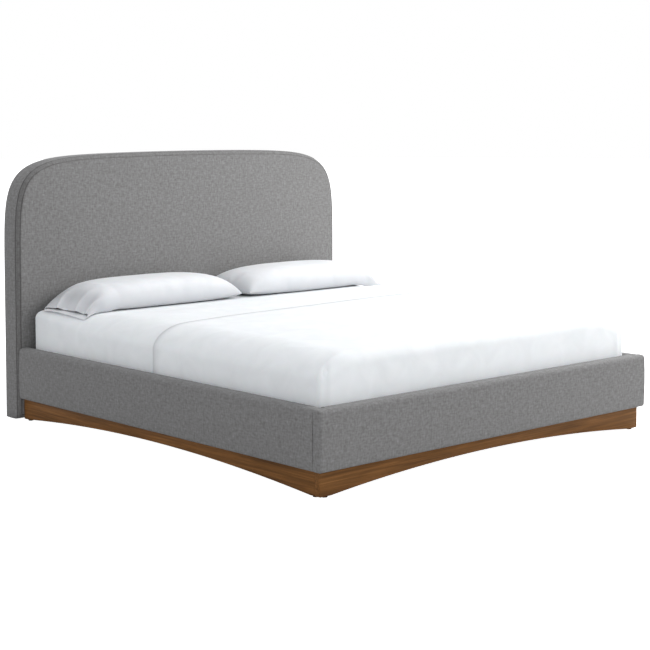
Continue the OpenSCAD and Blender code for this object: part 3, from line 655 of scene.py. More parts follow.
def walk(outline, spacing, length):
    """Pairs of points along a closed outline: short bars of a length, a spacing apart."""
    closed = np.vstack([outline, outline[:1]])
    run = np.concatenate([[0], np.cumsum(np.linalg.norm(np.diff(closed, axis=0), axis=1))])
    starts = np.arange(0, run[-1] - spacing, spacing)

    def at(distances):
        """Points at these distances along the outline."""
        return np.stack([np.interp(distances, run, closed[:, k]) for k in range(closed.shape[1])], axis=1)

    return zip(at(starts), at(starts + length))


staple_line = np.array(ring(-14.5 * MM, HEAD_BACK + 0.35 * MM))
staples = thin_bars("back_lining_staples", walk(staple_line, 45 * MM, 10 * MM), 0.45 * MM, ZINC)
print("lining staples:", len(staples.data.vertices) // (4 * BAR_SIDES))

# %% [markdown]
# ## Topstitching
# The folded seam is held by a row of stitches along its inner line, 7 mm long with a small gap. They
# are dark grey polyester thread that sinks into the cloth. Real thread is about 0.6 mm thick. It is
# drawn 1 mm thick, because a thinner one would vanish at any distance from which the bed is seen.

# %% Thread material and stitches
def polyester_thread():
    """Bonded polyester thread: dark, twisted, with a faint gloss along its strands."""
    material, tree, shader = finish_of("bonded_polyester_thread", Roughness=0.55)
    spot = add(tree, "ShaderNodeTexCoord").outputs["Object"]
    twist = add(tree, "ShaderNodeTexWave", {"Vector": spot, "Scale": WAVE_UNIT / (1.2 * MM),
                                            "Distortion": 1.0}, bands_direction="DIAGONAL").outputs["Fac"]
    colour_by(tree, shader, twist, [(0.0, "#45433f"), (1.0, "#6b6965")])
    return material


THREAD = polyester_thread()
stitch_line = np.array(ring(*edge_row(SEAM_ANGLES[1])))
inward = np.column_stack([-OUTWARD[:, 0], np.zeros(len(OUTWARD)), -OUTWARD[:, 1]])
stitch_line = stitch_line - inward * 0.3 * MM
stitches = thin_bars("headboard_topstitch", walk(stitch_line, 9 * MM, 7 * MM), 0.5 * MM, THREAD)
print("topstitches:", len(stitches.data.vertices) // (4 * BAR_SIDES))

# %% [markdown]
# ## Side rails: a cover wrapped over foam
# Each side rail is a pine board with foam on its outside and top. The cover is stapled inside, pulled
# over the top and down the outside, and stapled again underneath. So one cross-section is drawn from
# staple line to staple line, and carried along the rail. Near each end it is drawn in along a
# quarter circle, which rounds the end the way that foam under tight cloth does.

# %% Cross-section of a rail
RAIL_RADII = (9 * MM, 18 * MM, 12 * MM)   # inner top, outer top and outer lower edge
RAIL_BULGE = 3 * MM
RAIL_CLOTH = 2.4 * MM                 # thickness of a rail's cover
STAPLED_HEM = 14 * MM
COVER_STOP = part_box("slats_right")[0][2] + 6 * MM      # where the cover ends on a rail's inner face


def arc(u, z, radius, first, last, steps=6):
    """Points of an arc round a centre, with angles in degrees."""
    turns = np.radians(np.linspace(first, last, steps + 1))
    return [(u + radius * math.cos(t), z + radius * math.sin(t)) for t in turns]


def rail_section(inner, outer, low, high, inset, hem, stop=COVER_STOP, back=1.0):
    """Points (u, z) of a rail's cover, from the stapled edge inside to the hem underneath."""
    r_in, r_out, r_low = (max(r - inset, 1 * MM) for r in RAIL_RADII)
    if back < 1:                            # square at the back, where two pieces meet
        r_in = 2 * MM
    a, b, z0, z1 = inner + min(inset, back), outer - inset, low + inset, high - inset
    points = [(a, z) for z in np.linspace(stop, z1 - r_in, 4)[:-1]]
    points += arc(a + r_in, z1 - r_in, r_in, 180, 90, 5)
    top = np.linspace(a + r_in, b - r_out, 5)[1:-1]
    points += [(u, z1 + 0.8 * MM) for u in top]
    points += arc(b - r_out, z1 - r_out, r_out, 90, 0, 8)
    for share in np.linspace(0, 1, 12)[1:-1]:
        z = z1 - r_out + (z0 + r_low - z1 + r_out) * share
        points.append((b + RAIL_BULGE * math.sin(math.pi * share) ** 0.8, z))
    points += arc(b - r_low, z0 + r_low, r_low, 0, -90, 6)
    points += [(u, z0) for u in np.linspace(b - r_low, hem, 4)[1:]]
    return points


def end_steps(radius, steps=6):
    """Distances from an end and insets there, which round the end over a radius."""
    turns = np.radians(np.linspace(0, 90, steps + 1))
    return [(radius * (1 - math.cos(t)), radius * (1 - math.sin(t))) for t in turns]


side_low, side_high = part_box("side_rail_cover_right")
RAIL_IN, RAIL_OUT = side_low[0], side_high[0]
RAIL_LOW, RAIL_TOP = side_low[2], side_high[2]
SIDE_START, SIDE_END = side_low[1], side_high[1]
rail_size = round(SIDE_END - SIDE_START, 3), round(RAIL_TOP - RAIL_LOW, 3)
print("side rail", rail_size[0], "m long and", rail_size[1], "m high")

# %% Side rail covers and their foam
SIDE_END_RADIUS = 3 * MM


def along_rail(start, end, radius, spacing=28 * MM):
    """Places along a rail with an inset for each: rounded ends and even steps between them."""
    ends = end_steps(radius)
    middle = np.linspace(start + radius, end - radius, int((end - start) / spacing))[1:-1]
    places = [(start, radius + 4 * MM)] + [(start + d, inset) for d, inset in ends]
    places += [(y, 0.0) for y in middle]
    return places + [(end - d, inset) for d, inset in reversed(ends)] + [(end, radius + 4 * MM)]


def lofted(rows):
    """Points and faces of open rows, with both end rows closed flat."""
    count = len(rows[0])
    faces = skin_faces(len(rows), count)
    faces += [tuple(range(count - 1, -1, -1)), tuple((len(rows) - 1) * count + k for k in range(count))]
    return [p for row in rows for p in row], faces


def facing_out(faces, mirrored):
    """Faces turned round where a shape is mirrored, so that they still face outwards."""
    return [face[::-1] for face in faces] if mirrored else faces


core_low, core_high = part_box("side_rail_core_right")
hem = core_low[0] + STAPLED_HEM
for side, sign in (("left", -1), ("right", 1)):
    rows, pad_rows = [], []
    for y, inset in along_rail(SIDE_START, SIDE_END, SIDE_END_RADIUS):
        section = rail_section(RAIL_IN, RAIL_OUT, RAIL_LOW, RAIL_TOP, inset, hem)
        settle = 0.5 * MM * (inset == 0)
        rows.append([(sign * (u + settle * ripple((sign * u, y, z), 0.15)), y, z) for u, z in section])
    points, faces = lofted(rows)
    cover = piece(f"side_rail_{side}_cover", points, facing_out(faces, sign < 0), UPHOLSTERY)
    thicken(cover, RAIL_CLOTH)
    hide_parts(f"side_rail_cover_{side}")
    for y, inset in along_rail(SIDE_START + SKIN, SIDE_END - SKIN, SIDE_END_RADIUS - SKIN):
        outer_edge = rail_section(RAIL_IN, RAIL_OUT, RAIL_LOW, RAIL_TOP, SKIN + inset, hem)[4:-3]
        outer_edge = [(max(u, core_low[0]), z) for u, z in outer_edge]
        core_edge = [(core_high[0], core_low[2]), (core_high[0], core_high[2]), (core_low[0], core_high[2])]
        pad_rows.append([(sign * u, y, z) for u, z in outer_edge + core_edge + outer_edge[:1]])
    points, faces = lofted(pad_rows)
    pad = piece(f"side_rail_{side}_foam", points, facing_out(faces, sign < 0), FOAM)
    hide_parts(f"side_rail_foam_{side}")
    print(side, "rail cover girth", round(sum(math.dist(a, b) for a, b in zip(section, section[1:])), 3), "m")

# %% [markdown]
# ## Foot rail: it runs the full width and caps the side rails
# The foot rail's cover is carried along X instead. Past the bed's inner width it gets thinner, and
# these two tongues close the ends of the side rails. Its upright corners are rounded over 11 mm.

# %% Foot rail cover and its foam
foot_low, foot_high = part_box("foot_rail_cover")
FOOT_FACE, FOOT_INNER = foot_low[1], foot_high[1]
TONGUE_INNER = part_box("side_rail_cover_right")[0][1]
TONGUE_START = RAIL_IN - 0.3 * MM
FOOT_END_RADIUS = 11 * MM
INNER_CORNER = 1.5 * MM
TONGUE_BACK = 1.5 * MM                # at most this much is drawn in on a tongue's back
FOOT_HEM = 17 * MM                    # from the inner face to the staple line underneath


def foot_places():
    """Places along the foot rail's right half: (x, inset, y of the inner face)."""
    places = [(x, 0.0, FOOT_INNER) for x in np.linspace(0, TONGUE_START - INNER_CORNER, 36)]
    for t in np.radians((30, 60, 90)):
        places.append((TONGUE_START - INNER_CORNER * (1 - math.sin(t)), 0.0,
                       FOOT_INNER - INNER_CORNER * (1 - math.cos(t))))
    places += [(TONGUE_START, 0.0, TONGUE_INNER)]
    places += [(x, 0.0, TONGUE_INNER) for x in np.linspace(TONGUE_START, RAIL_OUT - FOOT_END_RADIUS, 5)[1:-1]]
    places += [(RAIL_OUT - d, inset, TONGUE_INNER) for d, inset in reversed(end_steps(FOOT_END_RADIUS))]
    return places + [(RAIL_OUT, FOOT_END_RADIUS + 4 * MM, TONGUE_INNER)]


right_half = foot_places()
both_halves = [(-x, inset, y) for x, inset, y in reversed(right_half[1:])] + right_half
rows = []
for x, inset, inner in both_halves:
    tongue = inner == TONGUE_INNER              # the tongues are covered all the way round
    hem = -inner + (min(inset, TONGUE_BACK) + 1 * MM if tongue else FOOT_HEM)
    stop = RAIL_LOW + inset + 1 * MM if tongue else COVER_STOP
    back = TONGUE_BACK if tongue else 1.0       # a tongue stays square where it meets the side rail
    section = rail_section(-inner, -FOOT_FACE, RAIL_LOW, RAIL_TOP, inset, hem, stop, back)
    settle = 0.5 * MM * (inset == 0)
    rows.append([(x, -u - settle * ripple((x, u, z), 0.15, 4.0), z) for u, z in section])
points, faces = lofted(rows)
foot_cover = piece("foot_rail_wrapped_cover", points, faces, UPHOLSTERY)
thicken(foot_cover, RAIL_CLOTH)
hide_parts("foot_rail_cover")
print("foot rail cover", round(2 * RAIL_OUT, 3), "m wide with", len(points), "points")

# %% Foam on the foot rail's front, top and ends
core_low, core_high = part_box("foot_rail_core")
foam_end = RAIL_OUT - SKIN
pad_rows = []
for x, inset, inner in both_halves:
    x = max(-foam_end, min(foam_end, x))
    outer_edge = rail_section(-inner, -FOOT_FACE, RAIL_LOW, RAIL_TOP, SKIN + max(inset - SKIN, 0), 0.0)[4:-3]
    core_edge = [(-core_low[1], core_low[2]), (-core_low[1], core_high[2]), (outer_edge[0][0], core_high[2])]
    pad_rows.append([(x, -u, z) for u, z in outer_edge + core_edge + outer_edge[:1]])
points, faces = lofted(pad_rows)
foot_pad = piece("foot_rail_foam_wrap", points, faces, FOAM)
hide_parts("foot_rail_foam")
PAD_EDGE = 2 * MM                     # the cut-off edge of the small pads at the foot rail's ends
a, b = core_high[0], foam_end - 1 * MM
pad_levels = [(core_low[2], PAD_EDGE), (core_low[2] + PAD_EDGE, 0)]
pad_levels += [(core_high[2] - PAD_EDGE, 0), (core_high[2], PAD_EDGE)]
for side, sign in (("left", -1), ("right", 1)):
    points = []
    for z, trim in pad_levels:
        x0, x1, y0, y1 = a, b - trim, core_low[1] + trim, TONGUE_INNER - SKIN - trim
        points += [(sign * x, y, z) for x, y in ((x0, y0), (x1, y0), (x1, y1), (x0, y1))]
    faces = skin_faces(4, 4, closed=True) + [(3, 2, 1, 0), (12, 13, 14, 15)]
    end_pad = piece(f"foot_rail_{side}_end_foam", points, facing_out(faces, sign < 0), FOAM)
print("foam ends at", round(foam_end, 3), "m from the middle")

# %% [markdown]
# ## Walnut plinth
# The plinth boards are walnut with a satin lacquer, and each lower edge is cut to a flat arch. Walnut
# has long dark streaks along the board, fine pores, and a grain that drifts. Growth rings are 2 to
# 4 mm apart. On a flat-sawn face they spread, so the streaks are drawn about 9 mm apart here.

# %% Wood materials
PORE_WIDTH, PORE_LENGTH = 0.9 * MM, 14 * MM    # drawn about three times as wide as a real pore


def wood(name, along, colours, ring_gap, drift, roughness, coat=0.0, pore_dark=0.0):
    """Planed wood with its grain along one axis: colour streaks, drifting rings and short pores."""
    material, tree, shader = finish_of(name, Roughness=roughness, Coat_Weight=coat, Coat_Roughness=0.32,
                                       Specular_IOR_Level=0.15)
    spot = add(tree, "ShaderNodeTexCoord").outputs["Object"]
    stretch = [1 / ring_gap] * 3
    stretch[along] = 1 / (ring_gap * 34)
    run = add(tree, "ShaderNodeMapping", {"Vector": spot, "Scale": stretch}).outputs[0]
    streaks = mottle(tree, run, 1.0, 5.0, Roughness=0.62, Distortion=drift)
    broad = mottle(tree, run, 0.22, 2.0)
    mixed = weighted(tree, broad, 0.55, streaks)
    shade = add(tree, "ShaderNodeMapRange", {"Value": mixed, "From Min": 0.50, "From Max": 1.06}).outputs[0]
    tone = add(tree, "ShaderNodeValToRGB", {"Fac": shade},
               stops=[(0.0, colours[0]), (1.0, colours[3]), (0.36, colours[1]), (0.68, colours[2])])
    fine = [1 / PORE_WIDTH] * 3
    fine[along] = 1 / PORE_LENGTH
    thin = add(tree, "ShaderNodeMapping", {"Vector": spot, "Scale": fine}).outputs[0]
    pores = mottle(tree, thin, 1.0, 2.0)
    pits = add(tree, "ShaderNodeMapRange", {"Value": pores, "From Min": 0.58, "From Max": 0.72}).outputs[0]
    amount = add(tree, "ShaderNodeMath", {0: pits, 1: pore_dark}, operation="MULTIPLY").outputs[0]
    colour = add(tree, "ShaderNodeMix", {"Factor": amount, 6: tone.outputs[0], 7: linear(colours[0])},
                 data_type="RGBA").outputs[2]
    tree.links.new(colour, shader.inputs["Base Color"])
    relief(tree, shader, streaks, 0.25, 0.3 * MM)
    return material


WALNUT = ["#58381c", "#704b24", "#84592e", "#986a3a"]
WALNUT_X = wood("lacquered_walnut_grain_x", 0, WALNUT, 9 * MM, 0.5, 0.58, coat=0.04, pore_dark=0.4)
WALNUT_Y = wood("lacquered_walnut_grain_y", 1, WALNUT, 9 * MM, 0.5, 0.58, coat=0.04, pore_dark=0.4)
print("walnut streaks about 9 mm apart and 300 mm long")

# %% Arched boards with eased edges and screw holes
ARCH_RISE = 50 * MM
ARCH_FOOT = 57 * MM                   # length of the flat foot at each end of an arch
HEAD_FOOT = 30 * MM                   # the same at the head end of a side board
COUNTERBORE = 6.05 * MM
COUNTERBORE_TOP = RAIL_LOW - 34 * MM
plinth_low, plinth_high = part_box("foot_plinth")
side_plinth_low, side_plinth_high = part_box("side_plinth_right")


def arched_edge(u0, u1, low, steps=56):
    """Points of a flat circular arch between two places along a board's lower edge."""
    half = (u1 - u0) / 2
    radius = (half ** 2 + ARCH_RISE ** 2) / (2 * ARCH_RISE)
    spread = math.asin(half / radius)
    turns = np.linspace(-spread, spread, steps + 1)
    return [((u0 + u1) / 2 + radius * math.sin(t), low + ARCH_RISE - radius + radius * math.cos(t))
            for t in turns]


def arched_board(name, corners, arch, to_xyz, holes, material):
    """A board cut from its profile, with counterbores and softly eased edges."""
    (u0, u1), (low, high), (t0, t1) = corners
    profile = [(u0, low)] + arched_edge(*arch, low) + [(u1, low), (u1, high), (u0, high)]
    count = len(profile)
    points = [to_xyz(u, t0, z) for u, z in profile] + [to_xyz(u, t1, z) for u, z in profile]
    faces = [tuple(range(count - 1, -1, -1)), tuple(range(count, 2 * count))]
    faces += [(k, (k + 1) % count, count + (k + 1) % count, count + k) for k in range(count)]
    board = piece(name, points, faces, material)
    bm = bmesh.new()
    bm.from_mesh(board.data)
    bmesh.ops.recalc_face_normals(bm, faces=bm.faces)
    bm.to_mesh(board.data)
    bm.free()
    cutter = bmesh.new()
    for x, y in holes:
        made = bmesh.ops.create_cone(cutter, cap_ends=True, segments=32, radius1=COUNTERBORE,
                                     radius2=COUNTERBORE, depth=0.2)
        bmesh.ops.translate(cutter, verts=made["verts"], vec=(x, y, COUNTERBORE_TOP - 0.1))
    drill_mesh = bpy.data.meshes.new("drill")
    cutter.to_mesh(drill_mesh)
    cutter.free()
    drill = bpy.data.objects.new("drill", drill_mesh)
    bpy.context.scene.collection.objects.link(drill)
    cut = board.modifiers.new("counterbores", "BOOLEAN")
    cut.object, cut.operation, cut.solver = drill, "DIFFERENCE", "EXACT"
    soften = board.modifiers.new("eased_edges", "BEVEL")
    soften.width, soften.segments, soften.limit_method = 1.6 * MM, 2, "ANGLE"
    soften.angle_limit = math.radians(50)
    bpy.context.view_layer.update()
    done = bpy.data.meshes.new_from_object(board.evaluated_get(bpy.context.evaluated_depsgraph_get()))
    board.modifiers.clear()
    board.data = done
    done.shade_smooth()
    done.set_sharp_from_angle(angle=math.radians(35))
    bpy.data.objects.remove(drill)
    return board


SIDE_SCREW_SHARES = (0.12, 0.38, 0.64, 0.9)
FOOT_SCREW_SHARES = (-0.75, -0.25, 0.25, 0.75)
side_core_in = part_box("side_rail_core_right")[0][0]
side_screw_x = (max(side_core_in, side_plinth_low[0]) + side_plinth_high[0]) / 2
side_screws = [(side_screw_x, SIDE_START + k * (SIDE_END - SIDE_START)) for k in SIDE_SCREW_SHARES]
foot_screw_y = (max(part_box("foot_rail_core")[0][1], plinth_low[1]) + plinth_high[1]) / 2
foot_screws = [(k * plinth_high[0], foot_screw_y) for k in FOOT_SCREW_SHARES]
foot_board = arched_board(
    "foot_plinth_board", ((plinth_low[0], plinth_high[0]), (plinth_low[2], plinth_high[2]),
                          (plinth_low[1], plinth_high[1])),
    (plinth_low[0] + ARCH_FOOT, plinth_high[0] - ARCH_FOOT), lambda u, t, z: (u, t, z), foot_screws, WALNUT_X)
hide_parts("foot_plinth")
side_arch = (plinth_low[1] + ARCH_FOOT, SIDE_END - HEAD_FOOT)
for side, sign in (("left", -1), ("right", 1)):
    board = arched_board(
        f"side_plinth_{side}_board", ((side_plinth_low[1], side_plinth_high[1]),
                                      (side_plinth_low[2], side_plinth_high[2]),
                                      (side_plinth_low[0], side_plinth_high[0])),
        side_arch, lambda u, t, z: (sign * t, u, z), [(sign * x, y) for x, y in side_screws], WALNUT_Y)
    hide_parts(f"side_plinth_{side}")
print("plinth boards", round((plinth_high[1] - plinth_low[1]) / MM), "mm thick")
print("arches", ARCH_RISE / MM, "mm high")

# %% [markdown]
# ## Mattress
# The mattress is a quilted block with a deep soft top, whose edge rolls over gently instead of turning
# a corner. It is built as rings that climb its sides and a grid that closes each face. The same
# function also makes the sheets, a little larger, so that cloth and mattress always agree.

# %% Skin over the mattress
MAT_LOW, MAT_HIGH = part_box("mattress")
MAT_TOP = MAT_HIGH[2]
CORNER = 70 * MM                      # radius of the foot corners, seen from above
HEAD_CORNER = 6 * MM                  # the head corners are squarer, pressed towards the headboard
ROLL_WIDE, ROLL_HIGH = 178 * MM, 94 * MM   # how far the soft top edge reaches in, and down
HEAD_ROLL = 0.76, 0.50                # shares by which that roll is narrower and lower at the head
FOOT_ROLL = 48 * MM                   # at the foot the edge turns more tightly
MIDDLE_SPAN = 0.6                     # the rolls are reshaped within this distance from an edge
BED_CROWN, CORNER_DIP = 14 * MM, 7 * MM    # the top's rise in its middle and its fall at the corners


def remap(value, old, new, full):
    """Moves a distance so that old becomes new, while 0 and all from full on stay where they are."""
    if value >= full:
        return value
    return value * new / old if value < old else new + (value - old) * (full - new) / (full - old)


def roll_at(y):
    """Width and height of the soft top edge at a place along the bed."""
    k = ease(y, 0.42, 0.88)
    return ROLL_WIDE * (1 - HEAD_ROLL[0] * k), ROLL_HIGH * (1 - HEAD_ROLL[1] * k)


def over_mattress(grow, levels, top_z, hem_at=None, cells=30 * MM, corner_steps=8, underside=None):
    """Points and faces of rings (inset, height) round the mattress and a grid over its top.
    With hem_at the skin is open at the head and stops along that line."""
    wide, y0, y1 = MAT_HIGH[0] + grow, MAT_LOW[1] - grow, MAT_HIGH[1] + grow
    inner = ROLL_WIDE + 14 * MM
    nx, ny = round(2 * wide / cells), round((y1 - y0) / cells * (0.55 if hem_at else 1))
    across, along = np.linspace(-1, 1, nx + 1), np.linspace(0, 1, ny + 1)

    def rounding(radius, inset):
        """Corner radius at an inset, which gets smaller towards the middle of the top."""
        return max((radius + grow) * (1 - inset / inner), 3 * MM)

    def long_side(x, reach, head_reach):
        """Points along one long side, from the foot to the head or to the hem."""
        end = hem_at(x) if hem_at else y1 - head_reach
        return [(x, y0 + reach + (end - y0 - reach) * k) for k in along]

    def corner(sign, y_corner, inset, first):
        """Points round one upright corner, between the straight sides."""
        radius = rounding(CORNER if y_corner == y0 else HEAD_CORNER, inset)
        middle = (sign * (wide - inset - radius), y_corner + math.copysign(inset + radius, -y_corner))
        return arc(*middle, radius, first, first + 90, corner_steps)[1:-1]

    points = []
    for inset, z in levels:
        reach, head_reach = inset + rounding(CORNER, inset), inset + rounding(HEAD_CORNER, inset)
        loop = long_side(inset - wide, reach, head_reach)[::-1] + corner(-1, y0, inset, 180)
        loop += [((wide - reach) * k, y0 + inset) for k in across] + corner(1, y0, inset, 270)
        loop += long_side(wide - inset, reach, head_reach)
        if not hem_at:
            loop += corner(1, y1, inset, 0) + [((wide - head_reach) * k, y1 - inset) for k in across[::-1]]
            loop += corner(-1, y1, inset, 90)
        points += [(x, y, z) for x, y in loop]
    count = len(loop)
    faces = skin_faces(len(levels), count, closed=not hem_at)
    corner_cell = [0] * (corner_steps - 1)
    targets = [(0, k) for k in range(ny, -1, -1)] + [(0, 0) for _ in corner_cell]
    targets += [(j, 0) for j in range(nx + 1)] + [(nx, 0) for _ in corner_cell]
    targets += [(nx, k) for k in range(ny + 1)]
    if not hem_at:
        targets += [(nx, ny) for _ in corner_cell] + [(j, ny) for j in range(nx, -1, -1)]
        targets += [(0, ny) for _ in corner_cell]
    grids = [(top_z, (len(levels) - 1) * count, False)]
    if underside is not None:
        grids.append((underside, 0, True))
    for z, ring_start, turned in grids:
        base = len(points)
        made = []
        for k in across:
            x = k * (wide - inner)
            points += [(x, y, z) for _, y in long_side(x, inner, inner)]
        number = lambda cell: base + cell[0] * (ny + 1) + cell[1]
        for i in range(count if not hem_at else count - 1):
            j = (i + 1) % count
            a, b = number(targets[i]), number(targets[j])
            made.append((ring_start + i, ring_start + j, b) + (() if a == b else (a,)))
        made += [(number((j, k)), number((j + 1, k)), number((j + 1, k + 1)), number((j, k + 1)))
                 for j in range(nx) for k in range(ny)]
        faces += facing_out(made, turned)
    reshaped = []
    for x, y, z in points:
        roll_wide, roll_high = roll_at(y)
        roll_high *= 1 - 0.45 * ease(wide - abs(x), 0.03, 0.20) * (1 - ease(y - y0, 0.0, 0.25))
        x = math.copysign(wide - remap(wide - abs(x), ROLL_WIDE, roll_wide, MIDDLE_SPAN), x)
        y = y1 - remap(y1 - y, ROLL_WIDE, roll_wide, MIDDLE_SPAN)
        y = y0 + remap(y - y0, ROLL_WIDE, FOOT_ROLL, MIDDLE_SPAN)
        reshaped.append((x, y, top_z - remap(top_z - z, ROLL_HIGH, roll_high, top_z - MAT_LOW[2])))
    return reshaped, faces


def edge_levels(grow, low_z, side_rows=7, edge_rows=11):
    """Rings up the side from low_z and over the soft top edge, and the top's height."""
    wide, high, top = ROLL_WIDE + grow, ROLL_HIGH + grow, MAT_TOP + grow
    levels = [(0.0, z) for z in np.linspace(low_z, top - high, side_rows)[:-1]]
    for t in np.radians(np.linspace(0, 90, edge_rows + 1)):
        levels.append((wide * (1 - math.cos(t)), top - high + high * math.sin(t)))
    return levels, top


def press(obj, distance_at):
    """Moves each point of a skin along its own outward direction."""
    mesh = obj.data
    moves = [(v.normal.copy(), v.co.copy()) for v in mesh.vertices]
    for vertex, (normal, place) in zip(mesh.vertices, moves):
        vertex.co = place + normal * distance_at(place, normal)


def bed_shape(place, normal):
    """Crown of the top, soft corners, and slow ripples, for the mattress and all that lies on it."""
    x, y, z = place
    across = abs(x) / MAT_HIGH[0]
    middle = (1 - across ** 4) * ease(y, MAT_LOW[1], MAT_LOW[1] + 0.45) * (1 - ease(y, 0.36, 0.60))
    near_foot = ease(-y, -MAT_LOW[1] - 0.30, -MAT_LOW[1])
    near_head = ease(y, MAT_HIGH[1] - 0.30, MAT_HIGH[1])
    corner = ease(across, 0.72, 1.0) * max(near_foot, near_head)
    up = max(normal.z, 0.0)
    under_pillow = ease(y, 0.50, 0.62)
    ripples = (1.1 * MM * ripple((x, y, 0), 0.42, 1.0) + 0.45 * MM * ripple((x, y, 0), 0.13, 2.0)) * (
        1 - under_pillow)
    side = (1 - up) * (1.6 * MM * ripple((x, y, 0.25 * z), 0.16, 5.0) - 1.5 * MM)
    return up * (BED_CROWN * middle - CORNER_DIP * corner * up + ripples - 1.0 * MM * under_pillow) + side


print("soft top edge reaches", ROLL_WIDE / MM, "mm in and", ROLL_HIGH / MM, "mm down")


# %% Ticking and the mattress itself
def quilted_ticking():
    """Knitted cotton ticking, quilted over wadding: soft squares with a stitched line between them."""
    material, tree, shader = finish_of("quilted_cotton_ticking", Roughness=0.9, Sheen_Weight=0.08,
                                       Specular_IOR_Level=0.3)
    metres = add(tree, "ShaderNodeUVMap", uv_map="metres").outputs[0]
    tilt = add(tree, "ShaderNodeMapping", {"Vector": metres, "Rotation": (0, 0, math.radians(45))}).outputs[0]
    pillowed = crossed(tree, tilt, 60 * MM)
    puff = add(tree, "ShaderNodeMath", {0: pillowed, 1: 0.4}, operation="POWER").outputs[0]
    knit = mottle(tree, metres, 1 / (1.8 * MM), 1.0, "2D")
    colour_by(tree, shader, puff, [(0.0, "#d3d0c8"), (0.5, "#f1efe9")])
    height = weighted(tree, knit, 0.12, puff)
    relief(tree, shader, height, 0.7, 4 * MM)
    return material


TICKING = quilted_ticking()
LOW_RADIUS = 24 * MM                  # radius of the mattress's lower edge
levels, top = edge_levels(-1 * MM, MAT_LOW[2] + LOW_RADIUS)
low_turn = [(LOW_RADIUS * (1 - math.sin(t)), MAT_LOW[2] + 1 * MM + LOW_RADIUS * (1 - math.cos(t)))
            for t in np.radians((0, 30, 60))]
points, faces = over_mattress(-1 * MM, [(60 * MM, low_turn[0][1])] + low_turn + levels, top, cells=60 * MM,
                              underside=low_turn[0][1])
mattress = piece("mattress_body", points, faces, TICKING, "mattress")
press(mattress, bed_shape)
mattress.modifiers.new("smoother", "SUBSURF").levels = 1
mattress.modifiers["smoother"].render_levels = 1
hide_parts("mattress")
print("mattress body", len(mattress.data.vertices), "points")

# %% [markdown]
# ## Cotton sheets
# The sheets are white cotton percale, a plain weave with about 40 threads to the centimetre each way.
# One thread is far too fine to show, so the weave is drawn every 2 mm and very shallow. What the eye
# does see is soft creasing: pressed cotton keeps faint dents, from one to ten centimetres wide.

# %% Percale material
def cotton_percale(name, low_tone, high_tone):
    """Washed cotton percale: white, matt, slightly see-through, with faint soft creases, and painted shade
    where its points are marked.
    """
    material, tree, shader = finish_of(name, Roughness=0.85, Sheen_Weight=0.06,
                                       Specular_IOR_Level=0.3, Subsurface_Weight=0.05,
                                       Subsurface_Scale=3 * MM)
    spot = add(tree, "ShaderNodeTexCoord").outputs["Object"]
    metres = add(tree, "ShaderNodeUVMap", uv_map="metres").outputs[0]
    soft = mottle(tree, spot, 9.0, 4.0, Roughness=0.5, Distortion=0.8)
    weave = crossed(tree, metres, 2 * MM)
    tone = add(tree, "ShaderNodeValToRGB", {"Fac": soft}, stops=[(0.3, low_tone), (0.7, high_tone)])
    # Painted shade: the cloth turns towards this grey along the flat sheet's hem, and on the pillowcases low
    # down and between their folds.
    paint_shade(tree, shader, tone.outputs[0], "#b8babd")
    height = weighted(tree, weave, 0.012, soft)
    relief(tree, shader, height, 0.12, 8 * MM)
    return material


PERCALE = cotton_percale("washed_cotton_percale", "#eceeef", "#f3f5f6")
# The pillowcases are the same percale in a slightly greyer tone: painted shade that darkens the pillows as a
# whole.
SHADED_CASE_PERCALE = cotton_percale("shaded_cotton_percale_pillowcases", "#e2e3e5", "#eaebed")
print("weave drawn every 2 mm")

# %% [markdown]
# ## Fitted sheet
# A fitted sheet has elastic in its hem. It pulls the cloth round the mattress's lower edge and gathers
# it underneath in small, even puckers. The corners are sewn, so the cloth follows them closely.

# %% Fitted sheet
FITTED = 1.5 * MM                     # how far the sheet's outside stands off the CAD mattress
FITTED_HEM = 118 * MM                 # width of the gathered hem under the mattress
PUCKER = 22 * MM                      # distance between two puckers in the hem
WRAP = 22 * MM                        # radius with which the sheet turns under
levels, top = edge_levels(FITTED, MAT_LOW[2] + WRAP)
under_z = MAT_LOW[2] - 0.9 * MM
wrap = [(WRAP * (1 - math.sin(t)), under_z + WRAP * (1 - math.cos(t))) for t in np.radians((0, 22, 45, 67))]
hem_levels = [(FITTED_HEM * k + WRAP * (1 - k), under_z) for k in (1.0, 0.93, 0.8, 0.6, 0.4, 0.2)]
points, faces = over_mattress(FITTED, hem_levels + wrap + levels, top)
fitted = piece("fitted_sheet_percale", points, faces, PERCALE, "mattress")


def gathered(place, normal):
    """The bed's shape, with puckers that grow towards the elastic underneath."""
    x, y, z = place
    if z > under_z + 1 * MM:
        return bed_shape(place, normal)
    inset = min(MAT_HIGH[0] - abs(x), y - MAT_LOW[1], MAT_HIGH[1] - y)
    return 0.6 * MM * ease(inset, 0.03, 0.11) * math.sin((x + y) * 2 * math.pi / PUCKER)


press(fitted, gathered)
thicken(fitted, 0.8 * MM)
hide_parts("fitted_sheet")
print("fitted sheet", len(fitted.data.vertices), "points")

# %% [markdown]
# ## Flat sheet
# The flat sheet covers the foot end. It is tucked down between mattress and rails, and its top hem
# runs across the bed, a little askew. The hem is turned twice and stitched 22 mm from its edge. At
# the foot corners the spare cloth is pulled into soft upright folds with a small dimple between them.

# %% Flat sheet
FLAT = 3.2 * MM                       # how far this sheet's outside stands off the CAD mattress
HEM_FOLD = 22 * MM                    # width of the turned hem
HEM_SKEW = 0.125                      # how much further up the bed the hem lies at the right
hem_low, hem_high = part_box("flat_sheet")


def hem_line(x):
    """Where the top hem lies at x: on the CAD line at the left, and further up the bed at the right."""
    share = min(max((x / MAT_HIGH[0] + 1) / 2, 0.0), 1.0)
    return hem_high[1] + 2 * MM + HEM_SKEW * share ** 1.15 + 5 * MM * ripple((x, 0, 0), 0.30, 7.0)


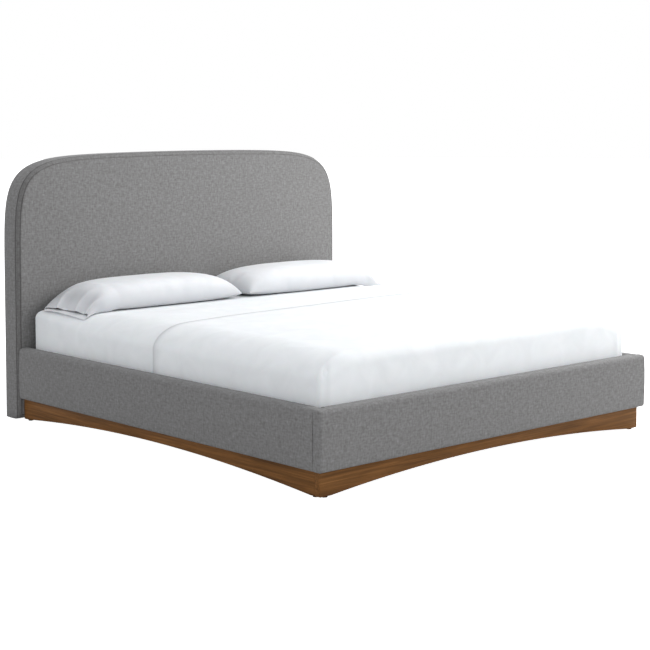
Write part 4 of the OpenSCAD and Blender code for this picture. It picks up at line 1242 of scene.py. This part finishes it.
levels, top = edge_levels(FLAT, hem_low[2] + 2 * MM, side_rows=8)
points, faces = over_mattress(FLAT, levels, top, hem_at=hem_line, cells=26 * MM, corner_steps=12)
flat_sheet = piece("flat_sheet_percale", points, faces, PERCALE, "mattress")
corner_middle = MAT_HIGH[0] - CORNER, MAT_LOW[1] + CORNER
# Height of each fold at a foot corner, then its place and its half width round the corner in degrees.
CORNER_FOLDS = [(2.2 * MM, 43, 10), (-1.5 * MM, 61, 10), (0.8 * MM, 78, 9), (-0.8 * MM, 24, 11)]


def tucked(place, normal):
    """The bed's shape with the hem's turned edge, puckers behind it and the folds at the foot corners."""
    x, y, z = place
    moved = bed_shape(place, normal)
    back = hem_line(x) - y
    hem = 0.7 * MM * (1 - ease(back, HEM_FOLD - 3 * MM, HEM_FOLD + 2 * MM))
    pucker = 1.3 * MM * ease(back, 0, 0.02) * (1 - ease(back, 0.05, 0.22))
    pucker *= ripple((x, 0.35 * y, z), 0.035, 9.0) * (0.4 + ease(abs(x), 0.6, 0.95))
    angle = math.degrees(math.atan2(corner_middle[1] - y, abs(x) - corner_middle[0]))
    out = math.hypot(corner_middle[1] - y, abs(x) - corner_middle[0])
    near = ease(out, 0.035, 0.06) * ease(MAT_TOP - z, 0.015, 0.05) * (y < corner_middle[1] + 0.02)
    fold = sum(height * math.exp(-((angle - turn) / width) ** 2) for height, turn, width in CORNER_FOLDS)
    dimple = -3.5 * MM * math.exp(-((angle - 61) / 9) ** 2 - ((z - MAT_TOP + 0.062) / 0.013) ** 2)
    drape = 0.35 * MM * (1 - max(normal.z, 0)) * ripple((x, y, 0.12 * z), 0.09, 11.0)
    return moved + hem + pucker + near * (fold + dimple) + drape


press(flat_sheet, tucked)


def hem_painted_shade(place):
    """Painted shade along the hem: a faint dark line where the turned hem is stitched down, and a darker one
    at its edge.
    """
    back = hem_line(place[0]) - place[1]
    line = math.exp(-((back - HEM_FOLD) / (4 * MM)) ** 2)
    edge = math.exp(-(back / (5 * MM)) ** 2)
    return 0.16 * line + 0.42 * edge


# Painted shade: a faint line at the hem's stitching and a darker one along its edge.
mark(flat_sheet, "painted_shade", hem_painted_shade)
thicken(flat_sheet, 1.0 * MM)
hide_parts("flat_sheet")
print("flat sheet", len(flat_sheet.data.vertices), "points, hem askew by",
      round((hem_line(0.9) - hem_line(-0.9)) / MM), "mm")

# %% [markdown]
# ## Pillows
# A pillow is two flat pieces of ticking sewn together and filled. Its creases are hard to draw by
# hand, so two flat layers are inflated by a cloth simulation: the seams pull in, the corners pinch,
# and creases run in from the edge. A very full pillow is smoother than that, so the simulated form is
# mixed with a plain swollen one: a little of it in the middle and almost half of it at the ends. Both
# are flattened where they lie on the bed.

# %% Two sewn layers
PILLOW_CELLS = (52, 40)
SEAM_HEIGHT = 24 * MM
SIM_FRAMES = 30


def sewn_layers(length, depth, lift, closing=2.8):
    """Points and faces of two layers that share their edge, with a first lift of the middle."""
    nu, nv = PILLOW_CELLS
    points, faces, number = [], [], {}
    for layer in (1, -1):
        for i in range(nu + 1):
            for j in range(nv + 1):
                edge = i in (0, nu) or j in (0, nv)
                if edge and layer == -1:
                    number[layer, i, j] = number[1, i, j]
                    continue
                u, v = 2 * i / nu - 1, 2 * j / nv - 1
                along = max(1 - abs(u) ** 5, 0) ** 0.5 if u > 0 else max(1 - abs(u) ** closing, 0) ** 0.6
                swell = along * max(1 - abs(v) ** 2.6, 0) ** 0.6
                draw_in = 1 - 0.03 * abs(v) ** 3, 1 - 0.06 * abs(u) ** 3 * abs(v)    # corners pull in
                number[layer, i, j] = len(points)
                points.append((u * length / 2 * draw_in[0], v * depth / 2 * draw_in[1], layer * lift * swell))
        for i in range(nu):
            for j in range(nv):
                face = [number[layer, a, b] for a, b in ((i, j), (i + 1, j), (i + 1, j + 1), (i, j + 1))]
                faces.append(tuple(face if layer == 1 else face[::-1]))
    return points, faces, number


def inflate(name, points, faces, seed):
    """The points after cloth simulation with air pressure inside and no gravity."""
    mesh = bpy.data.meshes.new(name)
    shaken = [(x + 1.5 * MM * ripple((x, y, z), 0.04, seed), y,
               z + 2 * MM * ripple((x, y, z), 0.06, seed + 1)) for x, y, z in points]
    mesh.from_pydata(shaken, [], faces)
    obj = bpy.data.objects.new(name, mesh)
    bpy.context.scene.collection.objects.link(obj)
    cloth = obj.modifiers.new("air", "CLOTH")
    cloth.settings.quality = 7
    cloth.settings.mass = 0.25
    cloth.settings.use_pressure = True
    cloth.settings.uniform_pressure_force = 4.0
    cloth.settings.tension_stiffness = 25
    cloth.settings.compression_stiffness = 25
    cloth.settings.bending_stiffness = 1.5
    cloth.settings.effector_weights.gravity = 0
    cloth.point_cache.frame_start, cloth.point_cache.frame_end = 1, SIM_FRAMES
    for step in range(1, SIM_FRAMES + 1):
        bpy.context.scene.frame_set(step)
    done = obj.evaluated_get(bpy.context.evaluated_depsgraph_get()).to_mesh()
    swollen = np.array([v.co[:] for v in done.vertices])
    bpy.data.objects.remove(obj)
    bpy.context.scene.frame_set(1)
    return swollen


def settled(swollen, low, high):
    """Fits an inflated pillow to its place: full above its seam and flattened below it."""
    x, y, z = np.asarray(swollen).T

    def fit(values, a, b):
        """Values stretched so that they run from a to b."""
        return a + (values - values.min()) / (values.max() - values.min()) * (b - a)

    full = np.abs(z).max()
    crown_height = high[2] - low[2] - SEAM_HEIGHT
    upper = crown_height * np.tanh(1.5 * np.maximum(z, 0) / full) / math.tanh(1.5)
    lower = SEAM_HEIGHT * np.tanh(2.6 * np.minimum(z, 0) / full) / math.tanh(2.6)
    return np.column_stack([fit(x, low[0], high[0]), fit(y, low[1], high[1]),
                            low[2] + SEAM_HEIGHT + upper + lower])


SHEET_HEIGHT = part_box("pillow_left")[0][2] + 1 * MM


def sleeping_height(x, y, hang):
    """Height of what lies on the sheet, down over the soft edge by at most hang."""
    wide, high = roll_at(y)
    share = min(max((abs(x) - MAT_HIGH[0] - FITTED) / wide + 1, 0.0), 1.0)
    return SHEET_HEIGHT - min(high * (1 - math.sqrt(1 - share ** 2)), hang)


print("pillow layers have", PILLOW_CELLS, "cells")

# %% [markdown]
# ## Pillowcases
# Each case fits its pillow closely and has one open end, away from the bed's middle. Past the pillow
# the cloth comes down steeply, in a few folds, to a mouth that gapes a little. The lower layer lies on
# the sheet and reaches further, down over the bed's soft edge. A filling can't be wider than its
# case, so each point of the pillow that would stand outside the case is moved back inside it. Each
# point of the case also gets a value of painted shade: the cloth is painted greyer low down on the
# pillow and between the folds of the open end.

# %% The open end of a pillowcase
FLAP_STEPS = 20
FLAP_LENGTH = 225 * MM                # from where the case leaves the pillow's form to its mouth
FOLDS = [(0.70, 0.035, 12 * MM), (0.56, 0.08, -6 * MM), (0.27, 0.04, 11 * MM), (0.16, 0.05, -7 * MM),
         (0.05, 0.03, 7 * MM)]        # place across the mouth, half width and height of each fold


def open_end(root, seam_front, seam_back, layer, share, across, mouth):
    """A point past the pillow, from its root at share 0 to the mouth at share 1."""
    front, back, lap, hang = mouth
    side = 0.0 < across < 1.0
    reach = lap * (1 - 0.45 * across) * (layer == -1 if side else 0.6)   # the lower layer reaches further
    y_front = seam_front + (front[1] - seam_front) * ease(share, 0, 1)
    y_back = seam_back + (back[1] - seam_back) * share ** 4
    x = root[0] + (front[0] + (back[0] - front[0]) * across + reach * share ** 3 - root[0]) * share
    y = y_front + (y_back - y_front) * across
    rest = sleeping_height(x, y, hang)
    gape = (4 + 5 * (1 - across)) * MM
    if not side:
        return np.array([x, y, root[2] + (rest + 0.5 * gape - root[2]) * ease(share, 0, 1)])
    if layer == -1:
        return np.array([x, y, root[2] + (rest + 0.5 * MM - root[2]) * ease(share, 0, 0.4)])
    fold = sum(h * math.exp(-abs((across - c) / w) ** 1.3) for c, w, h in FOLDS) * ease(share, 0.3, 0.7)
    z = rest + gape + (root[2] - rest - gape) * (1 - share ** (2.3 - 0.9 * across))
    return np.array([x + 0.7 * fold, y, z + 0.6 * fold])


def keep_inside(filling, case, gap):
    """Moves the points of a filling back until they are a little way inside its case."""
    skin = BVHTree.FromObject(case, bpy.context.evaluated_depsgraph_get())
    moved = 0
    for vertex in filling.data.vertices:
        place, normal, _, _ = skin.find_nearest(vertex.co)
        depth = (vertex.co - place).dot(normal)
        if depth > -gap:
            vertex.co -= normal * (depth + gap)
            moved += 1
    return moved


print("pillowcases run on", FLAP_LENGTH / MM, "mm past their pillow, in", len(FOLDS), "folds")

# %% Make both pillows
SEWN_SIZE = 0.88, 0.50                # length and depth of the flat layers
FLAT_LIFT, FULL_LIFT = 12 * MM, 60 * MM
CASE_SKIN = 1.6 * MM
LAP = 26 * MM                         # how far a case's lower layer reaches past the upper one
MOUTH_BACK = 78 * MM                  # from the pillow's back to the back of the mouth
CREASED = 0.12, 0.45                  # how much of the simulated form is mixed in, middle and ends
# For each pillow: its side as a sign, its seed, how far its case is pulled out, its top's height
# compared with its box, how far its case hangs down, and the power that shapes its closed end.
PILLOWS = {"left": (-1, 3.0, 54 * MM, -15 * MM, 60 * MM, 2.8),
           "right": (1, 8.0, 42 * MM, -13 * MM, 9 * MM, 2.0)}
for side, (sign, seed, pulled_out, slump, hang, closing) in PILLOWS.items():
    low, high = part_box(f"pillow_{side}")
    case_low, case_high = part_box(f"pillowcase_{side}")
    points, faces, number = sewn_layers(*SEWN_SIZE, FULL_LIFT, closing)
    near, far = (-high[0], -low[0]) if sign < 0 else (low[0], high[0])
    place = Vector((near, low[1] - 8 * MM, low[2])), Vector((far, high[1], high[2] + slump))
    shape = settled(points, *place)
    flat_points = sewn_layers(*SEWN_SIZE, FLAT_LIFT, closing)[0]
    blown = inflate(f"pillow_{side}_air", flat_points, faces, seed)
    ends = np.abs(np.array(flat_points)[:, :1] / (SEWN_SIZE[0] / 2)) ** 3
    creased = CREASED[0] + (CREASED[1] - CREASED[0]) * ends
    shape = (1 - creased) * shape + creased * settled(blown, *place)
    nu, nv = PILLOW_CELLS
    mouth_x = (case_high[0] if sign > 0 else -case_low[0]) + pulled_out
    mouth = (mouth_x - 44 * MM, low[1] - 6 * MM), (mouth_x - 16 * MM, high[1] - MOUTH_BACK), LAP, hang
    keep = round(nu * (mouth_x - FLAP_LENGTH - near) / (far - near))
    seam_front, seam_back = shape[number[1, keep, 0], 1], shape[number[1, keep, nv], 1]
    case_points, case_number = [], {}
    for layer in (1, -1):
        for i in range(keep + FLAP_STEPS + 1):
            for j in range(nv + 1):
                if layer == -1 and (i == 0 or j in (0, nv)):
                    case_number[layer, i, j] = case_number[1, i, j]
                    continue
                x, y, z = shape[number[layer, min(i, keep), j]]
                if i > keep:
                    across = (y - seam_front) / (seam_back - seam_front)
                    across = {0: 0.0, nv: 1.0}.get(j, min(max(across, 0.004), 0.996))
                    x, y, z = open_end((x, y, z), seam_front, seam_back, layer, (i - keep) / FLAP_STEPS,
                                       across, mouth)
                case_number[layer, i, j] = len(case_points)
                case_points.append((sign * x, y, z))
    case_faces = []
    for layer in (1, -1):
        for i in range(keep + FLAP_STEPS):
            for j in range(nv):
                face = [case_number[layer, a, b] for a, b in ((i, j), (i + 1, j), (i + 1, j + 1), (i, j + 1))]
                case_faces.append(tuple(face if layer == 1 else face[::-1]))
    case = piece(f"pillowcase_{side}_percale", case_points, facing_out(case_faces, sign < 0),
                 SHADED_CASE_PERCALE, f"{side}_pillow")
    flap_start = mouth_x - FLAP_LENGTH

    def case_painted_shade(place):
        """Painted shade of the case: none over the crown, more low down and between the folds of the open
        end.
        """
        height = (place.z - low[2]) / (high[2] + slump - low[2])
        share = (sign * place.x - flap_start) / FLAP_LENGTH
        across = (place.y - low[1]) / (high[1] - MOUTH_BACK * ease(share, 0.5, 1.0) - low[1])
        ridges = sum(math.exp(-((across - c) / (0.6 * w)) ** 2) for c, w, h in FOLDS if h > 0)
        raised = place.z > sleeping_height(place.x, place.y, hang) + 4 * MM
        folded = ease(share, 0.3, 0.7) * (1 - min(ridges, 1.0)) * raised
        low_down = (1 - ease(height, 0.1, 0.95)) * (1 - ease(share, 0.4, 0.8))
        return min(0.85 * low_down + 0.5 * folded, 1.0)

    # Painted shade on the case: greyer low down and between the folds of the open end.
    mark(case, "painted_shade", case_painted_shade)
    press(case, lambda place, normal: CASE_SKIN)
    inner = piece(f"pillow_{side}_filled", shape * np.array([sign, 1, 1]), facing_out(faces, sign < 0),
                  TICKING, f"{side}_pillow")
    press(inner, lambda place, normal: -1.2 * MM)
    moved = keep_inside(inner, case, 2.4 * MM)
    inner.modifiers.new("smoother", "SUBSURF").levels = 1
    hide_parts(f"pillow_{side}")
    case.modifiers.new("smoother", "SUBSURF").levels = 1
    thicken(case, 0.8 * MM)
    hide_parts(f"pillowcase_{side}")
    print(side, "pillow: case", len(case_points), "points,", moved, "points of the filling moved in")

# %% [markdown]
# ## Deck webbing
# Under the mattress, four polypropylene tapes join the slats and keep them spaced. Such tape is woven
# in a fine herringbone. It lies flat where it is stapled to a slat and dips a little between slats, so
# each tape is drawn as a thin strip whose height follows the slats.

# %% Webbing material
def woven_webbing():
    """Black polypropylene webbing: slightly glossy yarn in a herringbone."""
    material, tree, shader = finish_of("woven_polypropylene_webbing", Roughness=0.55, Specular_IOR_Level=0.4)
    metres = add(tree, "ShaderNodeUVMap", uv_map="metres").outputs[0]
    ways = []
    for turn in (38, -38):
        tilt = add(tree, "ShaderNodeMapping", {"Vector": metres, "Rotation": (0, 0, math.radians(turn))})
        ways.append(add(tree, "ShaderNodeTexWave", {"Vector": tilt.outputs[0], "Distortion": 0.4,
                                                    "Scale": WAVE_UNIT / (2.4 * MM)}).outputs["Fac"])
    stripe = add(tree, "ShaderNodeTexWave", {"Vector": metres, "Scale": WAVE_UNIT / (8 * MM)},
                 wave_profile="TRI").outputs["Fac"]
    half = add(tree, "ShaderNodeMath", {0: stripe, 1: 0.5}, operation="GREATER_THAN").outputs[0]
    yarn = add(tree, "ShaderNodeMix", {"Factor": half, 2: ways[0], 3: ways[1]}).outputs[0]
    colour_by(tree, shader, yarn, [(0.1, "#131315"), (0.9, "#2b2b2f")])
    relief(tree, shader, yarn, 0.5, 0.4 * MM)
    return material


WEBBING = woven_webbing()
print("herringbone drawn 2.4 mm apart")

# %% Four tapes over the slats
slats_low, slats_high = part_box("slats_right")
SLATS_ON_A_SIDE = 13
SLAT_WIDTH = 68 * MM
TAPE_WIDTH, TAPE_DIP = 25 * MM, 5 * MM
pitch = (slats_high[1] - slats_low[1] - SLAT_WIDTH) / (SLATS_ON_A_SIDE - 1)
for side, sign in (("left", -1), ("right", 1)):
    tape_low, tape_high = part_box(f"slat_tapes_{side}")
    inner, outer = (tape_low[0], tape_high[0]) if sign > 0 else (-tape_high[0], -tape_low[0])
    for number, start in enumerate((inner, outer - TAPE_WIDTH)):
        rows = []
        for y in np.arange(tape_low[1], tape_high[1] + 1e-6, pitch / 24):
            along = (y - slats_low[1]) % pitch
            gap = min(max((along - SLAT_WIDTH) / (pitch - SLAT_WIDTH), 0.0), 1.0)
            sag = TAPE_DIP * math.sin(math.pi * gap) ** 1.4 + 0.2 * MM * math.sin(y * 90)
            rows.append([(sign * (start + TAPE_WIDTH * k), y, tape_low[2] + 0.8 * MM - sag)
                         for k in (0.0, 0.06, 0.35, 0.65, 0.94, 1.0)])
        points = [point for row in rows for point in row]
        faces = facing_out(skin_faces(len(rows), 6), sign < 0)
        tape = piece(f"slat_tape_{side}_{number + 1}", points, faces, WEBBING)
        thicken(tape, 1.2 * MM, offset=0)
    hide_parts(f"slat_tapes_{side}")
    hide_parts(f"slat_tapes_{side}")
print("slats", round(pitch / MM, 1), "mm apart, tapes dip", TAPE_DIP / MM, "mm between them")

# %% [markdown]
# ## Finishes for the wooden frame
# The parts below keep their shape from the CAD model and only need a finish. Planed pine has pale
# wood between darker summer growth lines, which run along each board: up the posts, along the rails.
# Birch plywood shows its face veneer, and thin dark and light plies on the edge. Poplar slats are
# glued from plies as well, and are bent slightly, so they have a fine pale grain.

# %% Pine, plywood and poplar
PINE = ["#b48a58", "#c79d68", "#d5b07c", "#e0c296"]
PINE_GRAIN = [wood(f"planed_pine_grain_{'xyz'[axis]}", axis, PINE, 6 * MM, 0.35, 0.62, pore_dark=0.12)
              for axis in range(3)]


def layered_wood(name, layers_along, gap, face_tones, glue_tone, grain_along):
    """Veneered board: a face with fine grain, and edges with a dark glue line between plies."""
    material, tree, shader = finish_of(name, Roughness=0.58, Specular_IOR_Level=0.35)
    spot = add(tree, "ShaderNodeTexCoord").outputs["Object"]
    stretch = [1 / (5 * MM)] * 3
    stretch[grain_along] = 1 / (150 * MM)
    run = add(tree, "ShaderNodeMapping", {"Vector": spot, "Scale": stretch}).outputs[0]
    grain = mottle(tree, run, 1.0, 4.0, Distortion=0.4)
    face = add(tree, "ShaderNodeValToRGB", {"Fac": grain}, stops=[(0.3, face_tones[0]), (0.7, face_tones[1])])
    plies = add(tree, "ShaderNodeTexWave", {"Vector": spot, "Scale": WAVE_UNIT / gap, "Distortion": 0.3},
                bands_direction="XYZ"[layers_along]).outputs["Fac"]
    outward = add(tree, "ShaderNodeSeparateXYZ",
                  {0: add(tree, "ShaderNodeNewGeometry").outputs["True Normal"]}).outputs[layers_along]
    flat = add(tree, "ShaderNodeMath", {0: outward}, operation="ABSOLUTE").outputs[0]
    edge = add(tree, "ShaderNodeMapRange", {"Value": flat, "From Min": 0.5, "From Max": 0.8, "To Min": 0.75,
                                            "To Max": 0.0}).outputs[0]
    amount = add(tree, "ShaderNodeMath", {0: edge, 1: plies}, operation="MULTIPLY").outputs[0]
    colour = add(tree, "ShaderNodeMix", {"Factor": amount, 6: face.outputs[0], 7: linear(glue_tone)},
                 data_type="RGBA").outputs[2]
    tree.links.new(colour, shader.inputs["Base Color"])
    relief(tree, shader, grain, 0.2, 0.3 * MM)
    return material


BIRCH_PLYWOOD = layered_wood("birch_plywood", 1, 1.5 * MM, ("#c9aa79", "#dcc397"), "#8f6c42", 0)
POPLAR = layered_wood("laminated_poplar", 2, 3.0 * MM, ("#d3ba8e", "#e5d2ac"), "#a88b5c", 0)
print("plies 1.5 mm apart in plywood and 3 mm apart in the slats")

# %% [markdown]
# ## Finishes for metal and plastic
# The brackets, saddles and legs are mild steel with a baked powder coat. It hides the metal, and what
# the eye picks up is a slightly dimpled skin that reflects softly. Glides and levelling pads are
# moulded nylon, which scuffs where it slides, so it gets paler close to the floor.

# %% Metal and plastic
def powder_coated_steel():
    """Black powder coat: baked plastic powder with a faint orange peel a few millimetres wide."""
    material, tree, shader = finish_of("black_powder_coated_steel", Specular_IOR_Level=0.5)
    spot = add(tree, "ShaderNodeTexCoord").outputs["Object"]
    peel = mottle(tree, spot, 1 / (2.5 * MM), 2.0)
    wear = mottle(tree, spot, 30.0, 4.0)
    colour_by(tree, shader, wear, [(0.35, "#1b1c1e"), (0.7, "#27282b")])
    rough = add(tree, "ShaderNodeMapRange", {"Value": wear, "To Min": 0.42, "To Max": 0.6})
    tree.links.new(rough.outputs[0], shader.inputs["Roughness"])
    relief(tree, shader, peel, 0.25, 0.2 * MM)
    return material


def moulded_nylon():
    """Black moulded nylon: satin from the mould, scuffed paler where it slides over a floor."""
    material, tree, shader = finish_of("black_moulded_nylon", Roughness=0.5, Specular_IOR_Level=0.45)
    spot = add(tree, "ShaderNodeTexCoord").outputs["Object"]
    grain = mottle(tree, spot, 1 / (1.5 * MM), 2.0)
    height = add(tree, "ShaderNodeSeparateXYZ", {0: spot}).outputs[2]
    low = add(tree, "ShaderNodeMapRange", {"Value": height, "From Min": 0.0, "From Max": 1.5 * MM,
                                           "To Min": 0.6, "To Max": 0.0}).outputs[0]
    scuff = add(tree, "ShaderNodeMath", {0: low, 1: grain}, operation="MULTIPLY").outputs[0]
    colour = add(tree, "ShaderNodeMix", {"Factor": scuff, 6: linear("#161617"), 7: linear("#3f3f41")},
                 data_type="RGBA").outputs[2]
    tree.links.new(colour, shader.inputs["Base Color"])
    relief(tree, shader, grain, 0.2, 0.2 * MM)
    return material


POWDER_COAT = powder_coated_steel()
NYLON = moulded_nylon()
print("powder coat peel 2.5 mm wide")

# %% [markdown]
# ## Give each carried-over part its finish
# The record says which material each part is made of. For pine, the grain has to run the right way, so
# the long axis of the part's own box picks it. Wooden parts also get slightly rounded edges, since no
# sawn and sanded board is sharp: a sharp edge catches no light and looks drawn.

# %% Assign the finishes
FINISH_OF_SLOT = {"plywood": BIRCH_PLYWOOD, "poplar": POPLAR, "zinc_steel": ZINC, "black_steel": POWDER_COAT,
                  "black_nylon": NYLON}
EASED = {"pine": 1.2 * MM, "poplar": 2.0 * MM, "plywood": 0.6 * MM}
UPRIGHT_GRAIN = ("plinth_block_left", "plinth_block_right")
counts = {}
for row in frame["record"]["subparts"]:
    node, slot = row["node"], row["material_slot"]
    if slot != "pine" and slot not in FINISH_OF_SLOT:
        continue
    low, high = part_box(node)
    longest = max(range(3), key=lambda k: high[k] - low[k])
    grain = 2 if node in UPRIGHT_GRAIN else longest
    part = frame["nodes"][node]
    for place in part.material_slots:
        place.material = PINE_GRAIN[grain] if slot == "pine" else FINISH_OF_SLOT[slot]
    if slot in EASED:
        part.modifiers.new("joined_points", "WELD").merge_threshold = 0.01 * MM
        eased = part.modifiers.new("eased_edges", "BEVEL")
        eased.width, eased.segments, eased.limit_method = EASED[slot], 2, "ANGLE"
        eased.angle_limit = math.radians(40)
    counts[slot] = counts.get(slot, 0) + 1
print("finishes given:", counts)
